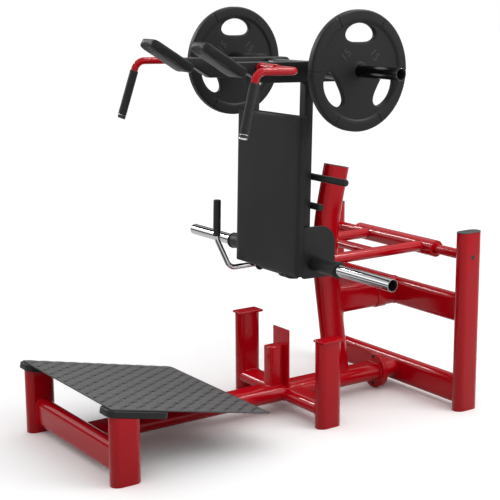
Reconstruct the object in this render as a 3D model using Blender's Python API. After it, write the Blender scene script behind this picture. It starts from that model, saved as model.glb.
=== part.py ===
"""Standing calf raise machine with a swinging lever carriage.

A fixed frame of oval tube carries a pivot shaft at its rear. The carriage, with the back pad, the
shoulder pads, the handles and the loading horns, swings on that shaft. A release lever turns on the
carriage, and two weight plates slide on the top horns. Metres, +Z up, the tread's side towards -Y,
left is -X. Places along Y are measured from the layout's own datum; the machine empty then moves the
whole machine so that its origin is the centre of its footprint.
"""

import math

import bmesh
import bpy
from mathutils import Vector

# Clearances and walls
SEAM = 0.0003
RUNNING_GAP = 0.0005
WALL = 0.003
FLOOR_PLATE = 0.004

# Facets around a section
OVAL_STEPS = 28
ROUND_STEPS = 20
SHAFT_STEPS = 36
PLATE_STEPS = 40
ROD_STEPS = 16
BEND_STEP = math.radians(16)
COLUMN_BEND_STEP = math.radians(6)
SIDE_SPLITS = 4
GRIP_HOLE_STEPS = 28

# How far the cutters reach past the machine, sideways and below the floor
CUT_SIDE = 1.0
CUT_BELOW = 0.1

# Flat-sided oval frame tubes: the main size, the slimmer posts, the base beam and its side bars
TUBE_THICK = 0.060
TUBE_WIDE = 0.120
POST_THICK = 0.058
POST_WIDE = 0.114
BEAM_HEIGHT = 0.070
MID_BAR_WIDE = 0.110
MID_BAR_HEIGHT = 0.055

# Pivot shaft, with the sleeve that swings on it
PIVOT_Y = 0.778
PIVOT_Z = 0.652
SHAFT_RADIUS = 0.0205
SLEEVE_RADIUS = 0.035
SLEEVE_WALL = 0.0055
SLEEVE_LENGTH = 0.512
BUSH_LENGTH = 0.030
BUSH_INSET = 0.001

# Front posts and the crossbar between them
FRONT_POST_X = 0.347
FRONT_POST_Y = -0.780
FRONT_BAR_Z = 0.082

# Base beam, along the middle
BEAM_Z = 0.080
FLANGE_RADIUS = 0.0775
FLANGE_THICKNESS = 0.012
FLANGE_Y = 0.653

# Mid posts, where the carriage comes to rest, and the bars that reach out to them
MID_BAR_Z = 0.0745
MID_POST_X = 0.285
MID_POST_Y = 0.180
MID_POST_HEIGHT = 0.3545
REST_CAP_X = 0.2885
REST_CAP_Y = 0.1865
REST_CAP_WIDTH = 0.070
REST_CAP_LENGTH = 0.117
REST_CAP_THICKNESS = 0.008
REST_CAP_CORNER = 0.006

# Catch post and its upright plate
CATCH_WIDTH = 0.053
CATCH_DEPTH = 0.067
CATCH_Y = 0.1195
CATCH_TOP = 0.283
CATCH_CORNER = 0.005
CATCH_PLATE_WIDTH = 0.107
CATCH_PLATE_THICKNESS = 0.008
CATCH_PLATE_TOP = 0.351

# Bent column
COLUMN_FOOT_Y = 0.4545
COLUMN_CORNER_Y = 0.371
COLUMN_CORNER_Z = 0.691
COLUMN_TOP_Y = 0.4410
COLUMN_TOP_Z = 1.0063
COLUMN_BEND_RADIUS = 0.90
CAP_THICKNESS = 0.004

# Upper link tube and its joint collar
LINK_Z = 0.4285
LINK_COLLAR_Y = 0.653
LINK_COLLAR_LENGTH = 0.0535
LINK_COLLAR_STEP = 0.004

# Rear posts and crossbars
REAR_POST_X = 0.443
REAR_POST_HEIGHT = 0.752
REAR_LOWER_Z = 0.076
REAR_UPPER_Z = 0.4265
SHAFT_BOLT_RADIUS = 0.006

# Sloping tread with its corner brackets and its support
TREAD_FRONT_Y = -0.838
TREAD_FRONT_Z = 0.297
TREAD_SLOPE = math.radians(12.25)
TREAD_LENGTH = 0.6976
TREAD_WIDTH = 0.735
TREAD_THICKNESS = 0.006
BRACKET_INNER_X = 0.290
BRACKET_OUTER_X = 0.378
BRACKET_OVERHANG = 0.0125
BRACKET_LENGTH = 0.252
BRACKET_THICKNESS = 0.025
BRACKET_CORNER = 0.025
SUPPORT_Y = -0.240
SUPPORT_WIDTH = 0.100
SUPPORT_THICKNESS = 0.012

# Carriage: its lean back about the pivot, in the pose it is kept in
CARRIAGE_LEAN = math.radians(1.5)

# Lever arms and the tube across them
ARM_WIDTH = 0.052
ARM_HEIGHT = 0.043
ARM_Z = 0.656
ARM_FRONT_START = 0.008
CROSS_TUBE_Y = 0.520
CROSS_TUBE_Z = 0.653
CROSS_TUBE_DEPTH = 0.050
CROSS_TUBE_HEIGHT = 0.031

# Lower horn bar, its stop collars and the bracket plates it passes through
LOWER_HORN_Y = 0.168
LOWER_HORN_Z = 0.644
LOWER_HORN_RADIUS = 0.024
LOWER_HORN_WALL = 0.0025
LOWER_HORN_LENGTH = 1.366
LOWER_COLLAR_RADIUS = 0.0302
LOWER_COLLAR_LENGTH = 0.156
LOWER_FLANGE_RADIUS = 0.0342
LOWER_FLANGE_THICKNESS = 0.009
PLATE_THICKNESS = 0.010
PLATE_FRONT_Y = 0.110
PLATE_REAR_Y = 0.269
PLATE_BOTTOM_Z = 0.585
PLATE_TOP_Z = 0.792
PLATE_BIG_RADIUS = 0.075
PLATE_SMALL_RADIUS = 0.010

# Rails and the pegs behind them
RAIL_X = 0.1815
RAIL_Y = 0.130
RAIL_SIZE = 0.040
RAIL_CORNER = 0.004
RAIL_BOTTOM_Z = 0.690
PEG_RADIUS = 0.0135
PEG_UPPER_Z = 0.988
PEG_UPPER_END_X = 0.400
PEG_LOWER_Z = 0.873
PEG_LOWER_END_X = 0.250

# Back pad
PAD_WIDTH = 0.436
PAD_BOTTOM_Z = 0.592
PAD_HEIGHT = 0.639
PAD_THICKNESS = 0.035
PAD_CORNER = 0.009
PAD_EDGE = 0.006
PAD_CROWN = 0.004
PAD_DRAW = 0.0015

# Top arms, with the sockets that hold the handles
TOP_ARM_BOTTOM_Z = 1.358
TOP_ARM_HEIGHT = 0.080
TOP_ARM_REAR_Y = 0.300
TOP_ARM_CORNER = 0.022
SOCKET_RADIUS = 0.019
SOCKET_LENGTH = 0.0985
HANDLE_ROOT_Y = -0.100
HANDLE_Z = 1.4155

# Shoulder pads
SHOULDER_Y = -0.279
SHOULDER_Z = 1.4435
SHOULDER_X = 0.185
SHOULDER_WIDTH = 0.120
SHOULDER_LENGTH = 0.217
SHOULDER_THICKNESS = 0.040
SHOULDER_TILT = math.radians(30.0)
SHOULDER_CORNER = 0.014
SHOULDER_EDGE = 0.010
SHOULDER_CROWN = 0.004

# Handles
HANDLE_RADIUS = 0.0143
HANDLE_WALL = 0.002
HANDLE_OUT_X = 0.426
HANDLE_FRONT_Y = -0.277
HANDLE_ROOT_BEND = 0.030
HANDLE_FRONT_BEND = 0.045
GRIP_RADIUS = 0.017
GRIP_FALL = Vector((0.013, -0.0494, -0.1774))
GRIP_START = 0.042
GRIP_LENGTH = 0.200

# Top horn bar, its stop collars and the weight plates
TOP_HORN_Y = 0.190
TOP_HORN_Z = 1.411
TOP_HORN_RADIUS = 0.0228
TOP_HORN_WALL = 0.003
TOP_HORN_LENGTH = 1.321
TOP_COLLAR_RADIUS = 0.039
TOP_COLLAR_LENGTH = 0.197
WEIGHT_RADIUS = 0.2262
WEIGHT_THICKNESS = 0.034
WEIGHT_WEB = 0.023
WEIGHT_RIM_INNER = 0.186
WEIGHT_HUB_RADIUS = 0.044
WEIGHT_SLOPE = 0.006
WEIGHT_EDGE = 0.006
GRIP_HOLE_RADIUS = 0.135
GRIP_HOLE_DEPTH = 0.082
GRIP_HOLE_WIDTH = 0.142
GRIP_HOLES = 3
GRIP_HOLE_FULLNESS = 2.6

# Release lever
RELEASE_X = 0.237
RELEASE_SHAFT_Y = 0.197
RELEASE_SHAFT_Z = 0.560
RELEASE_RADIUS = 0.0115
RELEASE_GRIP_Y = -0.004
RELEASE_GRIP_BOTTOM = 0.699
RELEASE_GRIP_TOP = 0.851
RELEASE_GRIP_RADIUS = 0.01575
RELEASE_GRIP_END = 0.005
RELEASE_KNEE_Z = 0.685
RELEASE_LOW_Y = 0.0625
RELEASE_LOW_Z = 0.5565
RELEASE_BEND = 0.022
HOOK_CENTRE_X = 0.002
HOOK_WIDTH = 0.037
HOOK_HUB_RADIUS = 0.0185
HOOK_REACH = 0.030
HOOK_NOSE_RADIUS = 0.008
BEARING_X = -0.034
BEARING_WIDTH = 0.032
BEARING_BAR_RADIUS = 0.032
BEARING_SHAFT_RADIUS = 0.0185
EAR_RADIUS = 0.0205

# Places worked out from the sizes above
RAIL_OUTER_X = RAIL_X + RAIL_SIZE / 2
ARM_X = RAIL_OUTER_X - ARM_WIDTH / 2
PLATE_INNER_X = RAIL_OUTER_X + SEAM
PLATE_OUTER_X = PLATE_INNER_X + PLATE_THICKNESS
RAIL_REAR_Y = RAIL_Y + RAIL_SIZE / 2
PAD_REAR_Y = RAIL_Y - RAIL_SIZE / 2 - SEAM
PEG_Y = RAIL_REAR_Y + SEAM + PEG_RADIUS
BUSH_BORE = SHAFT_RADIUS + RUNNING_GAP
SLEEVE_BORE = SLEEVE_RADIUS - SLEEVE_WALL
SOCKET_BORE = HANDLE_RADIUS + SEAM
RELEASE_BORE = RELEASE_RADIUS + RUNNING_GAP
GRIP_AXIS = GRIP_FALL.normalized()
CATCH_REAR_Y = CATCH_Y + CATCH_DEPTH / 2
FRONT_Y = TREAD_FRONT_Y - BRACKET_OVERHANG * math.cos(TREAD_SLOPE)
FRONT_Y -= (TREAD_THICKNESS + BRACKET_THICKNESS + SEAM) * math.sin(TREAD_SLOPE)
REAR_Y = PIVOT_Y + POST_WIDE / 2
DATUM_Y = (FRONT_Y + REAR_Y) / 2

SIDES = (("left", -1), ("right", 1))
X_AXIS = Vector((1, 0, 0))
Y_AXIS = Vector((0, 1, 0))
Z_AXIS = Vector((0, 0, 1))

FINISHES = {
    "red_paint": ((0.42, 0.012, 0.018), 0.28, 0.0),
    "black_paint": ((0.022, 0.022, 0.023), 0.45, 0.0),
    "dark_plastic": ((0.03, 0.032, 0.034), 0.5, 0.0),
    "upholstery": ((0.028, 0.028, 0.029), 0.6, 0.0),
    "rubber": ((0.02, 0.02, 0.021), 0.7, 0.0),
    "chrome": ((0.75, 0.76, 0.78), 0.12, 1.0),
    "dark_chrome": ((0.16, 0.16, 0.17), 0.2, 1.0),
    "tread_metal": ((0.09, 0.092, 0.096), 0.55, 0.4),
}


# Outlines in two dimensions

def circle(radius, steps=ROUND_STEPS):
    """A round section, as points in the plane."""
    turns = [2 * math.pi * i / steps for i in range(steps)]
    return [(radius * math.cos(a), radius * math.sin(a)) for a in turns]


def oval(width, height, steps=OVAL_STEPS):
    """A section with two flat sides and two round ends, width by height."""
    radius = min(width, height) / 2
    points = []
    for k in range(steps):
        turn = 2 * math.pi * (k + 0.5) / steps
        u, v = radius * math.cos(turn), radius * math.sin(turn)
        points.append((u + math.copysign(width / 2 - radius, u), v + math.copysign(height / 2 - radius, v)))
    return points


def rounded(corners, radii, steps=5):
    """A polygon whose corners are rounded to the given radii, a radius of 0 keeping a corner."""
    points = []
    count = len(corners)
    for i, (corner, radius) in enumerate(zip(corners, radii)):
        here = Vector(corner)
        before = (Vector(corners[i - 1]) - here).normalized()
        after = (Vector(corners[(i + 1) % count]) - here).normalized()
        if radius <= 0:
            points.append(tuple(here))
            continue
        half = before.angle(after) / 2
        reach = radius / math.tan(half)
        centre = here + (before + after).normalized() * radius / math.sin(half)
        start = here + before * reach - centre
        finish = here + after * reach - centre
        sweep = start.angle(finish)
        for k in range(steps + 1):
            t = k / steps
            blend = (start * math.sin(sweep * (1 - t)) + finish * math.sin(sweep * t)) / math.sin(sweep)
            points.append(tuple(centre + blend))
    return points


def box_outline(width, height, corner, steps=4):
    """A rectangle with round corners, centred."""
    w, h = width / 2, height / 2
    return rounded([(-w, -h), (w, -h), (w, h), (-w, h)], [corner] * 4, steps)


def lug_outline(first, first_radius, second, second_radius, steps=10):
    """The outline of a strap round two circles, counter-clockwise."""
    a, b = Vector(first), Vector(second)
    along = math.atan2(b.y - a.y, b.x - a.x)
    spread = math.acos((first_radius - second_radius) / (b - a).length)
    points = []
    for k in range(steps + 1):
        turn = along + spread + (2 * math.pi - 2 * spread) * k / steps
        points.append((a.x + first_radius * math.cos(turn), a.y + first_radius * math.sin(turn)))
    for k in range(steps + 1):
        turn = along - spread + 2 * spread * k / steps
        points.append((b.x + second_radius * math.cos(turn), b.y + second_radius * math.sin(turn)))
    return points


# Rings and skins in three dimensions

def ring(outline, origin, across, up):
    """Places an outline in space: its first coordinate along across, its second along up."""
    return [Vector(origin) + across * u + up * v for u, v in outline]


def skin(name, rings, loop=False):
    """A mesh over rings joined in order. A loop joins the last to the first, else both are capped."""
    bm = bmesh.new()
    rows = [[bm.verts.new(point) for point in points] for points in rings]
    steps = list(zip(rows, rows[1:]))
    if loop:
        steps.append((rows[-1], rows[0]))
    for first, second in steps:
        count = len(first)
        for i in range(count):
            j = (i + 1) % count
            bm.faces.new((first[i], first[j], second[j], second[i]))
    if not loop:
        bm.faces.new(rows[0])
        bm.faces.new(rows[-1])
    bmesh.ops.recalc_face_normals(bm, faces=bm.faces)
    mesh = bpy.data.meshes.new(name)
    bm.to_mesh(mesh)
    bm.free()
    return mesh


def prism(name, outline, start, along, across, up):
    """A solid bar of one section."""
    far = Vector(start) + along
    return skin(name, [ring(outline, start, across, up), ring(outline, far, across, up)])


def pipe(name, outer, inner, start, along, across, up):
    """A bar of one section with an open bore."""
    near, far = Vector(start), Vector(start) + along
    rings = [ring(outer, near, across, up), ring(outer, far, across, up)]
    rings += [ring(inner, far, across, up), ring(inner, near, across, up)]
    return skin(name, rings, loop=True)


def bend_path(corners, radii, step=BEND_STEP):
    """A line through corners with round bends, as points in space."""
    path = [Vector(corners[0])]
    for before, corner, after, radius in zip(corners, corners[1:], corners[2:], radii):
        corner = Vector(corner)
        back = (Vector(before) - corner).normalized()
        ahead = (Vector(after) - corner).normalized()
        half = back.angle(ahead) / 2
        centre = corner + (back + ahead).normalized() * radius / math.sin(half)
        start = corner + back * radius / math.tan(half) - centre
        finish = corner + ahead * radius / math.tan(half) - centre
        sweep = start.angle(finish)
        count = max(2, math.ceil(sweep / step))
        for k in range(count + 1):
            t = k / count
            blend = (start * math.sin(sweep * (1 - t)) + finish * math.sin(sweep * t)) / math.sin(sweep)
            path.append(centre + blend)
    path.append(Vector(corners[-1]))
    return path


def path_frames(path, side):
    """The section's two directions at each point of a path, carried along it without twist."""
    frames = []
    count = len(path)
    for i, point in enumerate(path):
        ahead = path[min(i + 1, count - 1)] - point
        behind = point - path[max(i - 1, 0)]
        tangent = (ahead.normalized() + behind.normalized()).normalized()
        side = (side - tangent * side.dot(tangent)).normalized()
        frames.append((side.copy(), tangent.cross(side)))
    return frames


def swept(name, outer, path, side, inner=None):
    """A bar along a path, with an open bore where an inner outline is given."""
    frames = path_frames(path, side)
    rings = [ring(outer, point, across, up) for point, (across, up) in zip(path, frames)]
    if inner is None:
        return skin(name, rings)
    bore = [ring(inner, point, across, up) for point, (across, up) in zip(path, frames)]
    return skin(name, rings + bore[::-1], loop=True)


# Objects

def finish_of(name, kind):
    """A material of its own for one piece."""
    colour, roughness, metallic = FINISHES[kind]
    material = bpy.data.materials.new(name + "_finish")
    material.use_nodes = True
    shader = material.node_tree.nodes["Principled BSDF"]
    shader.inputs["Base Color"].default_value = (*colour, 1.0)
    shader.inputs["Roughness"].default_value = roughness
    shader.inputs["Metallic"].default_value = metallic
    material.diffuse_color = (*colour, 1.0)
    return material


def place(mesh, kind, parent, location=(0, 0, 0), turn=0.0):
    """Links a piece of the machine under its parent, turned about X."""
    mesh.materials.append(finish_of(mesh.name, kind))
    mesh.shade_smooth()
    mesh.set_sharp_from_angle(angle=math.radians(35))
    piece = bpy.data.objects.new(mesh.name, mesh)
    bpy.context.scene.collection.objects.link(piece)
    piece.parent = parent
    piece.location = location
    piece.rotation_euler.x = turn
    return piece


def tool(mesh, parent):
    """Links a cutter or an addition, which isn't a piece of the machine itself."""
    helper = bpy.data.objects.new(mesh.name, mesh)
    bpy.context.scene.collection.objects.link(helper)
    helper.parent = parent
    helper.hide_render = True
    helper.display_type = "WIRE"
    return helper


def shape_with(piece, helper, operation="DIFFERENCE"):
    """Cuts a piece with a helper, or unites it with one."""
    modifier = piece.modifiers.new(helper.name, "BOOLEAN")
    modifier.operation = operation
    modifier.solver = "EXACT"
    modifier.object = helper


def axis_empty(name, parent, location, turn=0.0):
    """An empty that carries pieces, on the axis they turn or slide on."""
    empty = bpy.data.objects.new(name, None)
    bpy.context.scene.collection.objects.link(empty)
    empty.parent = parent
    empty.location = location
    empty.rotation_euler.x = turn
    return empty


# Frame

def thin(width, height, by=WALL):
    """The section left inside a wall."""
    return oval(width - 2 * by, height - 2 * by)


def grown(width, height):
    """The section that a neighbour is cut back to."""
    return oval(width + 2 * SEAM, height + 2 * SEAM)


def cutters(machine):
    """The cutters that trim tubes where they meet the tubes they are welded to."""
    tools = {}
    wide_x = 2 * CUT_SIDE * X_AXIS
    tools["front_bar"] = tool(
        prism("front_bar_cut", grown(TUBE_THICK, TUBE_WIDE), (-CUT_SIDE, FRONT_POST_Y, FRONT_BAR_Z),
              wide_x, Y_AXIS, Z_AXIS), machine)
    for key, height in (("rear_lower", REAR_LOWER_Z), ("rear_upper", REAR_UPPER_Z)):
        tools[key] = tool(
            prism(key + "_cut", grown(TUBE_THICK, TUBE_WIDE), (-CUT_SIDE, PIVOT_Y, height), wide_x,
                  Y_AXIS, Z_AXIS), machine)
    tools["beam"] = tool(
        prism("beam_cut", grown(TUBE_WIDE, BEAM_HEIGHT), (0, FRONT_POST_Y, BEAM_Z),
              Y_AXIS * (FLANGE_Y - FRONT_POST_Y), X_AXIS, Z_AXIS), machine)
    tools["mid_bar"] = tool(
        prism("mid_bar_cut", grown(MID_BAR_WIDE, MID_BAR_HEIGHT), (-CUT_SIDE, MID_POST_Y, MID_BAR_Z),
              wide_x, Y_AXIS, Z_AXIS), machine)
    tools["column"] = tool(
        swept("column_cut", grown(TUBE_THICK, TUBE_WIDE), column_path(), X_AXIS), machine)
    for side, sign in SIDES:
        for key, x, y, section in (("front_post", FRONT_POST_X, FRONT_POST_Y, grown(TUBE_THICK, TUBE_WIDE)),
                                   ("mid_post", MID_POST_X, MID_POST_Y, grown(POST_THICK, POST_WIDE)),
                                   ("rear_post", REAR_POST_X, PIVOT_Y, grown(POST_THICK, POST_WIDE))):
            tools[key + "_" + side] = tool(
                prism(f"{key}_cut_{side}", section, (sign * x, y, -CUT_BELOW), Z_AXIS, X_AXIS, Y_AXIS), machine)
    return tools


def column_path():
    """The column's centreline, from inside the base beam to its top end."""
    foot = (0, COLUMN_FOOT_Y, BEAM_Z)
    corner = (0, COLUMN_CORNER_Y, COLUMN_CORNER_Z)
    top = Vector((0, COLUMN_TOP_Y, COLUMN_TOP_Z))
    axis = (top - Vector(corner)).normalized()
    return bend_path([foot, corner, top - axis * (CAP_THICKNESS + SEAM)], [COLUMN_BEND_RADIUS],
                     COLUMN_BEND_STEP)


def tread_height(y, below):
    """The height at y of a plane parallel to the tread, this far below its top face."""
    return TREAD_FRONT_Z - (y - TREAD_FRONT_Y) * math.tan(TREAD_SLOPE) - below / math.cos(TREAD_SLOPE)


def post(name, x, y, top, thick=POST_THICK, wide=POST_WIDE):
    """An upright oval tube with a closed foot. Its top is a height, or a function of y."""
    height = top if callable(top) else (lambda _: top)
    outer = ring(oval(thick, wide), (x, y, 0), X_AXIS, Y_AXIS)
    inner = ring(thin(thick, wide), (x, y, 0), X_AXIS, Y_AXIS)
    rings = [outer, [Vector((p.x, p.y, height(p.y))) for p in outer]]
    rings += [[Vector((p.x, p.y, height(p.y))) for p in inner], [p + FLOOR_PLATE * Z_AXIS for p in inner]]
    return skin(name, rings)


def build_posts(machine):
    """Front, mid and rear posts, with what closes their tops."""
    under_bracket = TREAD_THICKNESS + BRACKET_THICKNESS + 2 * SEAM
    for side, sign in SIDES:
        place(post("front_post_" + side, sign * FRONT_POST_X, FRONT_POST_Y,
                   lambda y: tread_height(y, under_bracket), TUBE_THICK, TUBE_WIDE), "red_paint", machine)
        place(post("mid_post_" + side, sign * MID_POST_X, MID_POST_Y, MID_POST_HEIGHT - SEAM),
              "red_paint", machine)
        cap = box_outline(REST_CAP_WIDTH, REST_CAP_LENGTH, REST_CAP_CORNER)
        place(prism("rest_cap_" + side, cap, (sign * REST_CAP_X, REST_CAP_Y, MID_POST_HEIGHT),
                    Z_AXIS * REST_CAP_THICKNESS, X_AXIS, Y_AXIS), "red_paint", machine)
        rear = place(post("rear_post_" + side, sign * REAR_POST_X, PIVOT_Y, REAR_POST_HEIGHT),
                     "red_paint", machine)
        hole = prism("shaft_bolt_hole_" + side, circle(SHAFT_BOLT_RADIUS),
                     (sign * REAR_POST_X, PIVOT_Y, PIVOT_Z), X_AXIS * sign * POST_THICK, Y_AXIS, Z_AXIS)
        shape_with(rear, tool(hole, machine))
        place(prism("rear_post_cap_" + side, oval(POST_THICK, POST_WIDE),
                    (sign * REAR_POST_X, PIVOT_Y, REAR_POST_HEIGHT + SEAM), Z_AXIS * CAP_THICKNESS,
                    X_AXIS, Y_AXIS), "dark_plastic", machine)


def crossbar(name, reach, y, z, machine, trims):
    """A tall oval tube across the machine, trimmed where it meets the posts."""
    mesh = pipe(name, oval(TUBE_THICK, TUBE_WIDE), thin(TUBE_THICK, TUBE_WIDE), (-reach, y, z),
                X_AXIS * 2 * reach, Y_AXIS, Z_AXIS)
    bar = place(mesh, "red_paint", machine)
    for trim in trims:
        shape_with(bar, trim)


def build_crossbars(machine, tools):
    """The bars that join the posts in pairs, and those that reach out to the mid posts."""
    crossbar("front_crossbar", FRONT_POST_X, FRONT_POST_Y, FRONT_BAR_Z, machine,
             [tools["front_post_left"], tools["front_post_right"]])
    rear_trims = [tools["rear_post_left"], tools["rear_post_right"]]
    crossbar("rear_lower_crossbar", REAR_POST_X, PIVOT_Y, REAR_LOWER_Z, machine, rear_trims)
    crossbar("rear_upper_crossbar", REAR_POST_X, PIVOT_Y, REAR_UPPER_Z, machine, rear_trims)
    for side, sign in SIDES:
        mesh = pipe("mid_crossbar_" + side, oval(MID_BAR_WIDE, MID_BAR_HEIGHT),
                    thin(MID_BAR_WIDE, MID_BAR_HEIGHT), (0, MID_POST_Y, MID_BAR_Z),
                    X_AXIS * sign * MID_POST_X, Y_AXIS, Z_AXIS)
        bar = place(mesh, "red_paint", machine)
        shape_with(bar, tools["beam"])
        shape_with(bar, tools["mid_post_" + side])


def build_beam(machine, tools):
    """The base beam with its front flange, and the rear flange on its stub."""
    def across(outline, y):
        return ring(outline, (0, y, BEAM_Z), X_AXIS, Z_AXIS)

    tube = oval(TUBE_WIDE, BEAM_HEIGHT)
    bore = thin(TUBE_WIDE, BEAM_HEIGHT)
    disc = circle(FLANGE_RADIUS, OVAL_STEPS)
    joint = FLANGE_Y + FLANGE_THICKNESS
    rings = [across(bore, FLANGE_Y), across(bore, FRONT_POST_Y), across(tube, FRONT_POST_Y)]
    rings += [across(tube, FLANGE_Y), across(disc, FLANGE_Y), across(disc, joint)]
    beam = place(skin("base_beam", rings), "red_paint", machine)
    shape_with(beam, tools["front_bar"])
    rear = joint + SEAM + FLANGE_THICKNESS
    rings = [across(disc, joint + SEAM), across(disc, rear), across(tube, rear), across(tube, PIVOT_Y)]
    rings += [across(bore, PIVOT_Y), across(bore, rear)]
    stub = place(skin("base_flange_rear", rings), "red_paint", machine)
    shape_with(stub, tools["rear_lower"])


def build_catch(machine, tools):
    """The catch post with its closed top, and the plate that stands behind it."""
    outer = box_outline(CATCH_WIDTH, CATCH_DEPTH, CATCH_CORNER)
    inner = box_outline(CATCH_WIDTH - 2 * WALL, CATCH_DEPTH - 2 * WALL, CATCH_CORNER - WALL)

    def level(outline, z):
        return ring(outline, (0, CATCH_Y, z), X_AXIS, Y_AXIS)

    rings = [level(outer, CATCH_TOP), level(outer, BEAM_Z), level(inner, BEAM_Z), level(inner, CATCH_TOP - WALL)]
    post_piece = place(skin("catch_post", rings), "red_paint", machine)
    middle = CATCH_REAR_Y + SEAM + CATCH_PLATE_THICKNESS / 2
    mesh = prism("catch_plate", box_outline(CATCH_PLATE_WIDTH, CATCH_PLATE_THICKNESS, 0.001, 2),
                 (0, middle, BEAM_Z), Z_AXIS * (CATCH_PLATE_TOP - BEAM_Z), X_AXIS, Y_AXIS)
    plate = place(mesh, "red_paint", machine)
    for piece in (post_piece, plate):
        shape_with(piece, tools["beam"])
        shape_with(piece, tools["mid_bar"])


def build_column(machine, tools):
    """The bent column with its cap, and the link tube from it to the rear crossbar."""
    path = column_path()
    mesh = swept("column", oval(TUBE_THICK, TUBE_WIDE), path, X_AXIS, thin(TUBE_THICK, TUBE_WIDE))
    column = place(mesh, "red_paint", machine)
    shape_with(column, tools["beam"])
    axis = (path[-1] - path[-2]).normalized()
    place(prism("column_cap", oval(TUBE_THICK, TUBE_WIDE), path[-1] + axis * SEAM, axis * CAP_THICKNESS,
                X_AXIS, axis.cross(X_AXIS)), "dark_plastic", machine)

    def across(outline, y):
        return ring(outline, (0, y, LINK_Z), X_AXIS, Z_AXIS)

    tube = oval(TUBE_THICK, TUBE_WIDE)
    bore = thin(TUBE_THICK, TUBE_WIDE)
    collar = oval(TUBE_THICK + 2 * LINK_COLLAR_STEP, TUBE_WIDE + 2 * LINK_COLLAR_STEP)
    collar_end = LINK_COLLAR_Y + LINK_COLLAR_LENGTH
    start = COLUMN_FOOT_Y + (COLUMN_CORNER_Y - COLUMN_FOOT_Y) * (LINK_Z - BEAM_Z) / (COLUMN_CORNER_Z - BEAM_Z)
    rings = [across(tube, start), across(tube, LINK_COLLAR_Y), across(collar, LINK_COLLAR_Y)]
    rings += [across(collar, collar_end), across(tube, collar_end), across(tube, PIVOT_Y)]
    rings += [across(bore, PIVOT_Y), across(bore, start)]
    link = place(skin("upper_link", rings, loop=True), "red_paint", machine)
    shape_with(link, tools["column"])
    shape_with(link, tools["rear_upper"])


def build_shaft(machine, tools):
    """The shaft that the carriage swings on, between the rear posts."""
    mesh = prism("pivot_shaft", circle(SHAFT_RADIUS, SHAFT_STEPS), (-REAR_POST_X, PIVOT_Y, PIVOT_Z),
                 X_AXIS * 2 * REAR_POST_X, Y_AXIS, Z_AXIS)
    shaft = place(mesh, "red_paint", machine)
    shape_with(shaft, tools["rear_post_left"])
    shape_with(shaft, tools["rear_post_right"])


def build_tread(machine, tools):
    """The sloping tread sheet, its corner brackets and the support under it."""
    front = (0, TREAD_FRONT_Y, TREAD_FRONT_Z)
    sheet = box_outline(TREAD_WIDTH, TREAD_LENGTH, 0.004, 3)
    sheet = [(u, v + TREAD_LENGTH / 2) for u, v in sheet]
    place(prism("platform_tread", sheet, (0, 0, -TREAD_THICKNESS), Z_AXIS * TREAD_THICKNESS, X_AXIS, Y_AXIS),
          "tread_metal", machine, front, -TREAD_SLOPE)
    near, far = -BRACKET_OVERHANG, BRACKET_LENGTH - BRACKET_OVERHANG
    outline = rounded([(BRACKET_INNER_X, near), (BRACKET_OUTER_X, near), (BRACKET_OUTER_X, far),
                       (BRACKET_INNER_X, far)], [BRACKET_CORNER] * 4)
    for side, sign in SIDES:
        mirrored = [(sign * u, v) for u, v in outline]
        low = (0, 0, -TREAD_THICKNESS - SEAM - BRACKET_THICKNESS)
        place(prism("platform_bracket_" + side, mirrored, low, Z_AXIS * BRACKET_THICKNESS, X_AXIS, Y_AXIS),
              "black_paint", machine, front, -TREAD_SLOPE)
    foot = ring(box_outline(SUPPORT_WIDTH, SUPPORT_THICKNESS, 0.001, 2), (0, SUPPORT_Y, BEAM_Z), X_AXIS, Y_AXIS)
    head = [Vector((p.x, p.y, tread_height(p.y, TREAD_THICKNESS + SEAM))) for p in foot]
    support = place(skin("platform_support", [foot, head]), "red_paint", machine)
    shape_with(support, tools["beam"])


# Carriage

def upright(x, y, z):
    """A place on the carriage, given before its lean, as seen from the pivot."""
    return Vector((x, y - PIVOT_Y, z - PIVOT_Z))


def side_ring(outline, x):
    """An outline of y and z, set at x as seen from the pivot."""
    return [upright(x, y, z) for y, z in outline]


def slab(name, outline, inner_x, thickness, sign):
    """A flat piece with an outline of y and z, from inner_x outwards on one side."""
    return skin(name, [side_ring(outline, sign * inner_x), side_ring(outline, sign * (inner_x + thickness))])


def round_bar(name, radius, bore, start, length, steps=ROUND_STEPS):
    """A round bar along X, with an open bore where one is given."""
    if bore:
        return pipe(name, circle(radius, steps), circle(bore, steps), start, X_AXIS * length, Y_AXIS, Z_AXIS)
    return prism(name, circle(radius, steps), start, X_AXIS * length, Y_AXIS, Z_AXIS)


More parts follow.
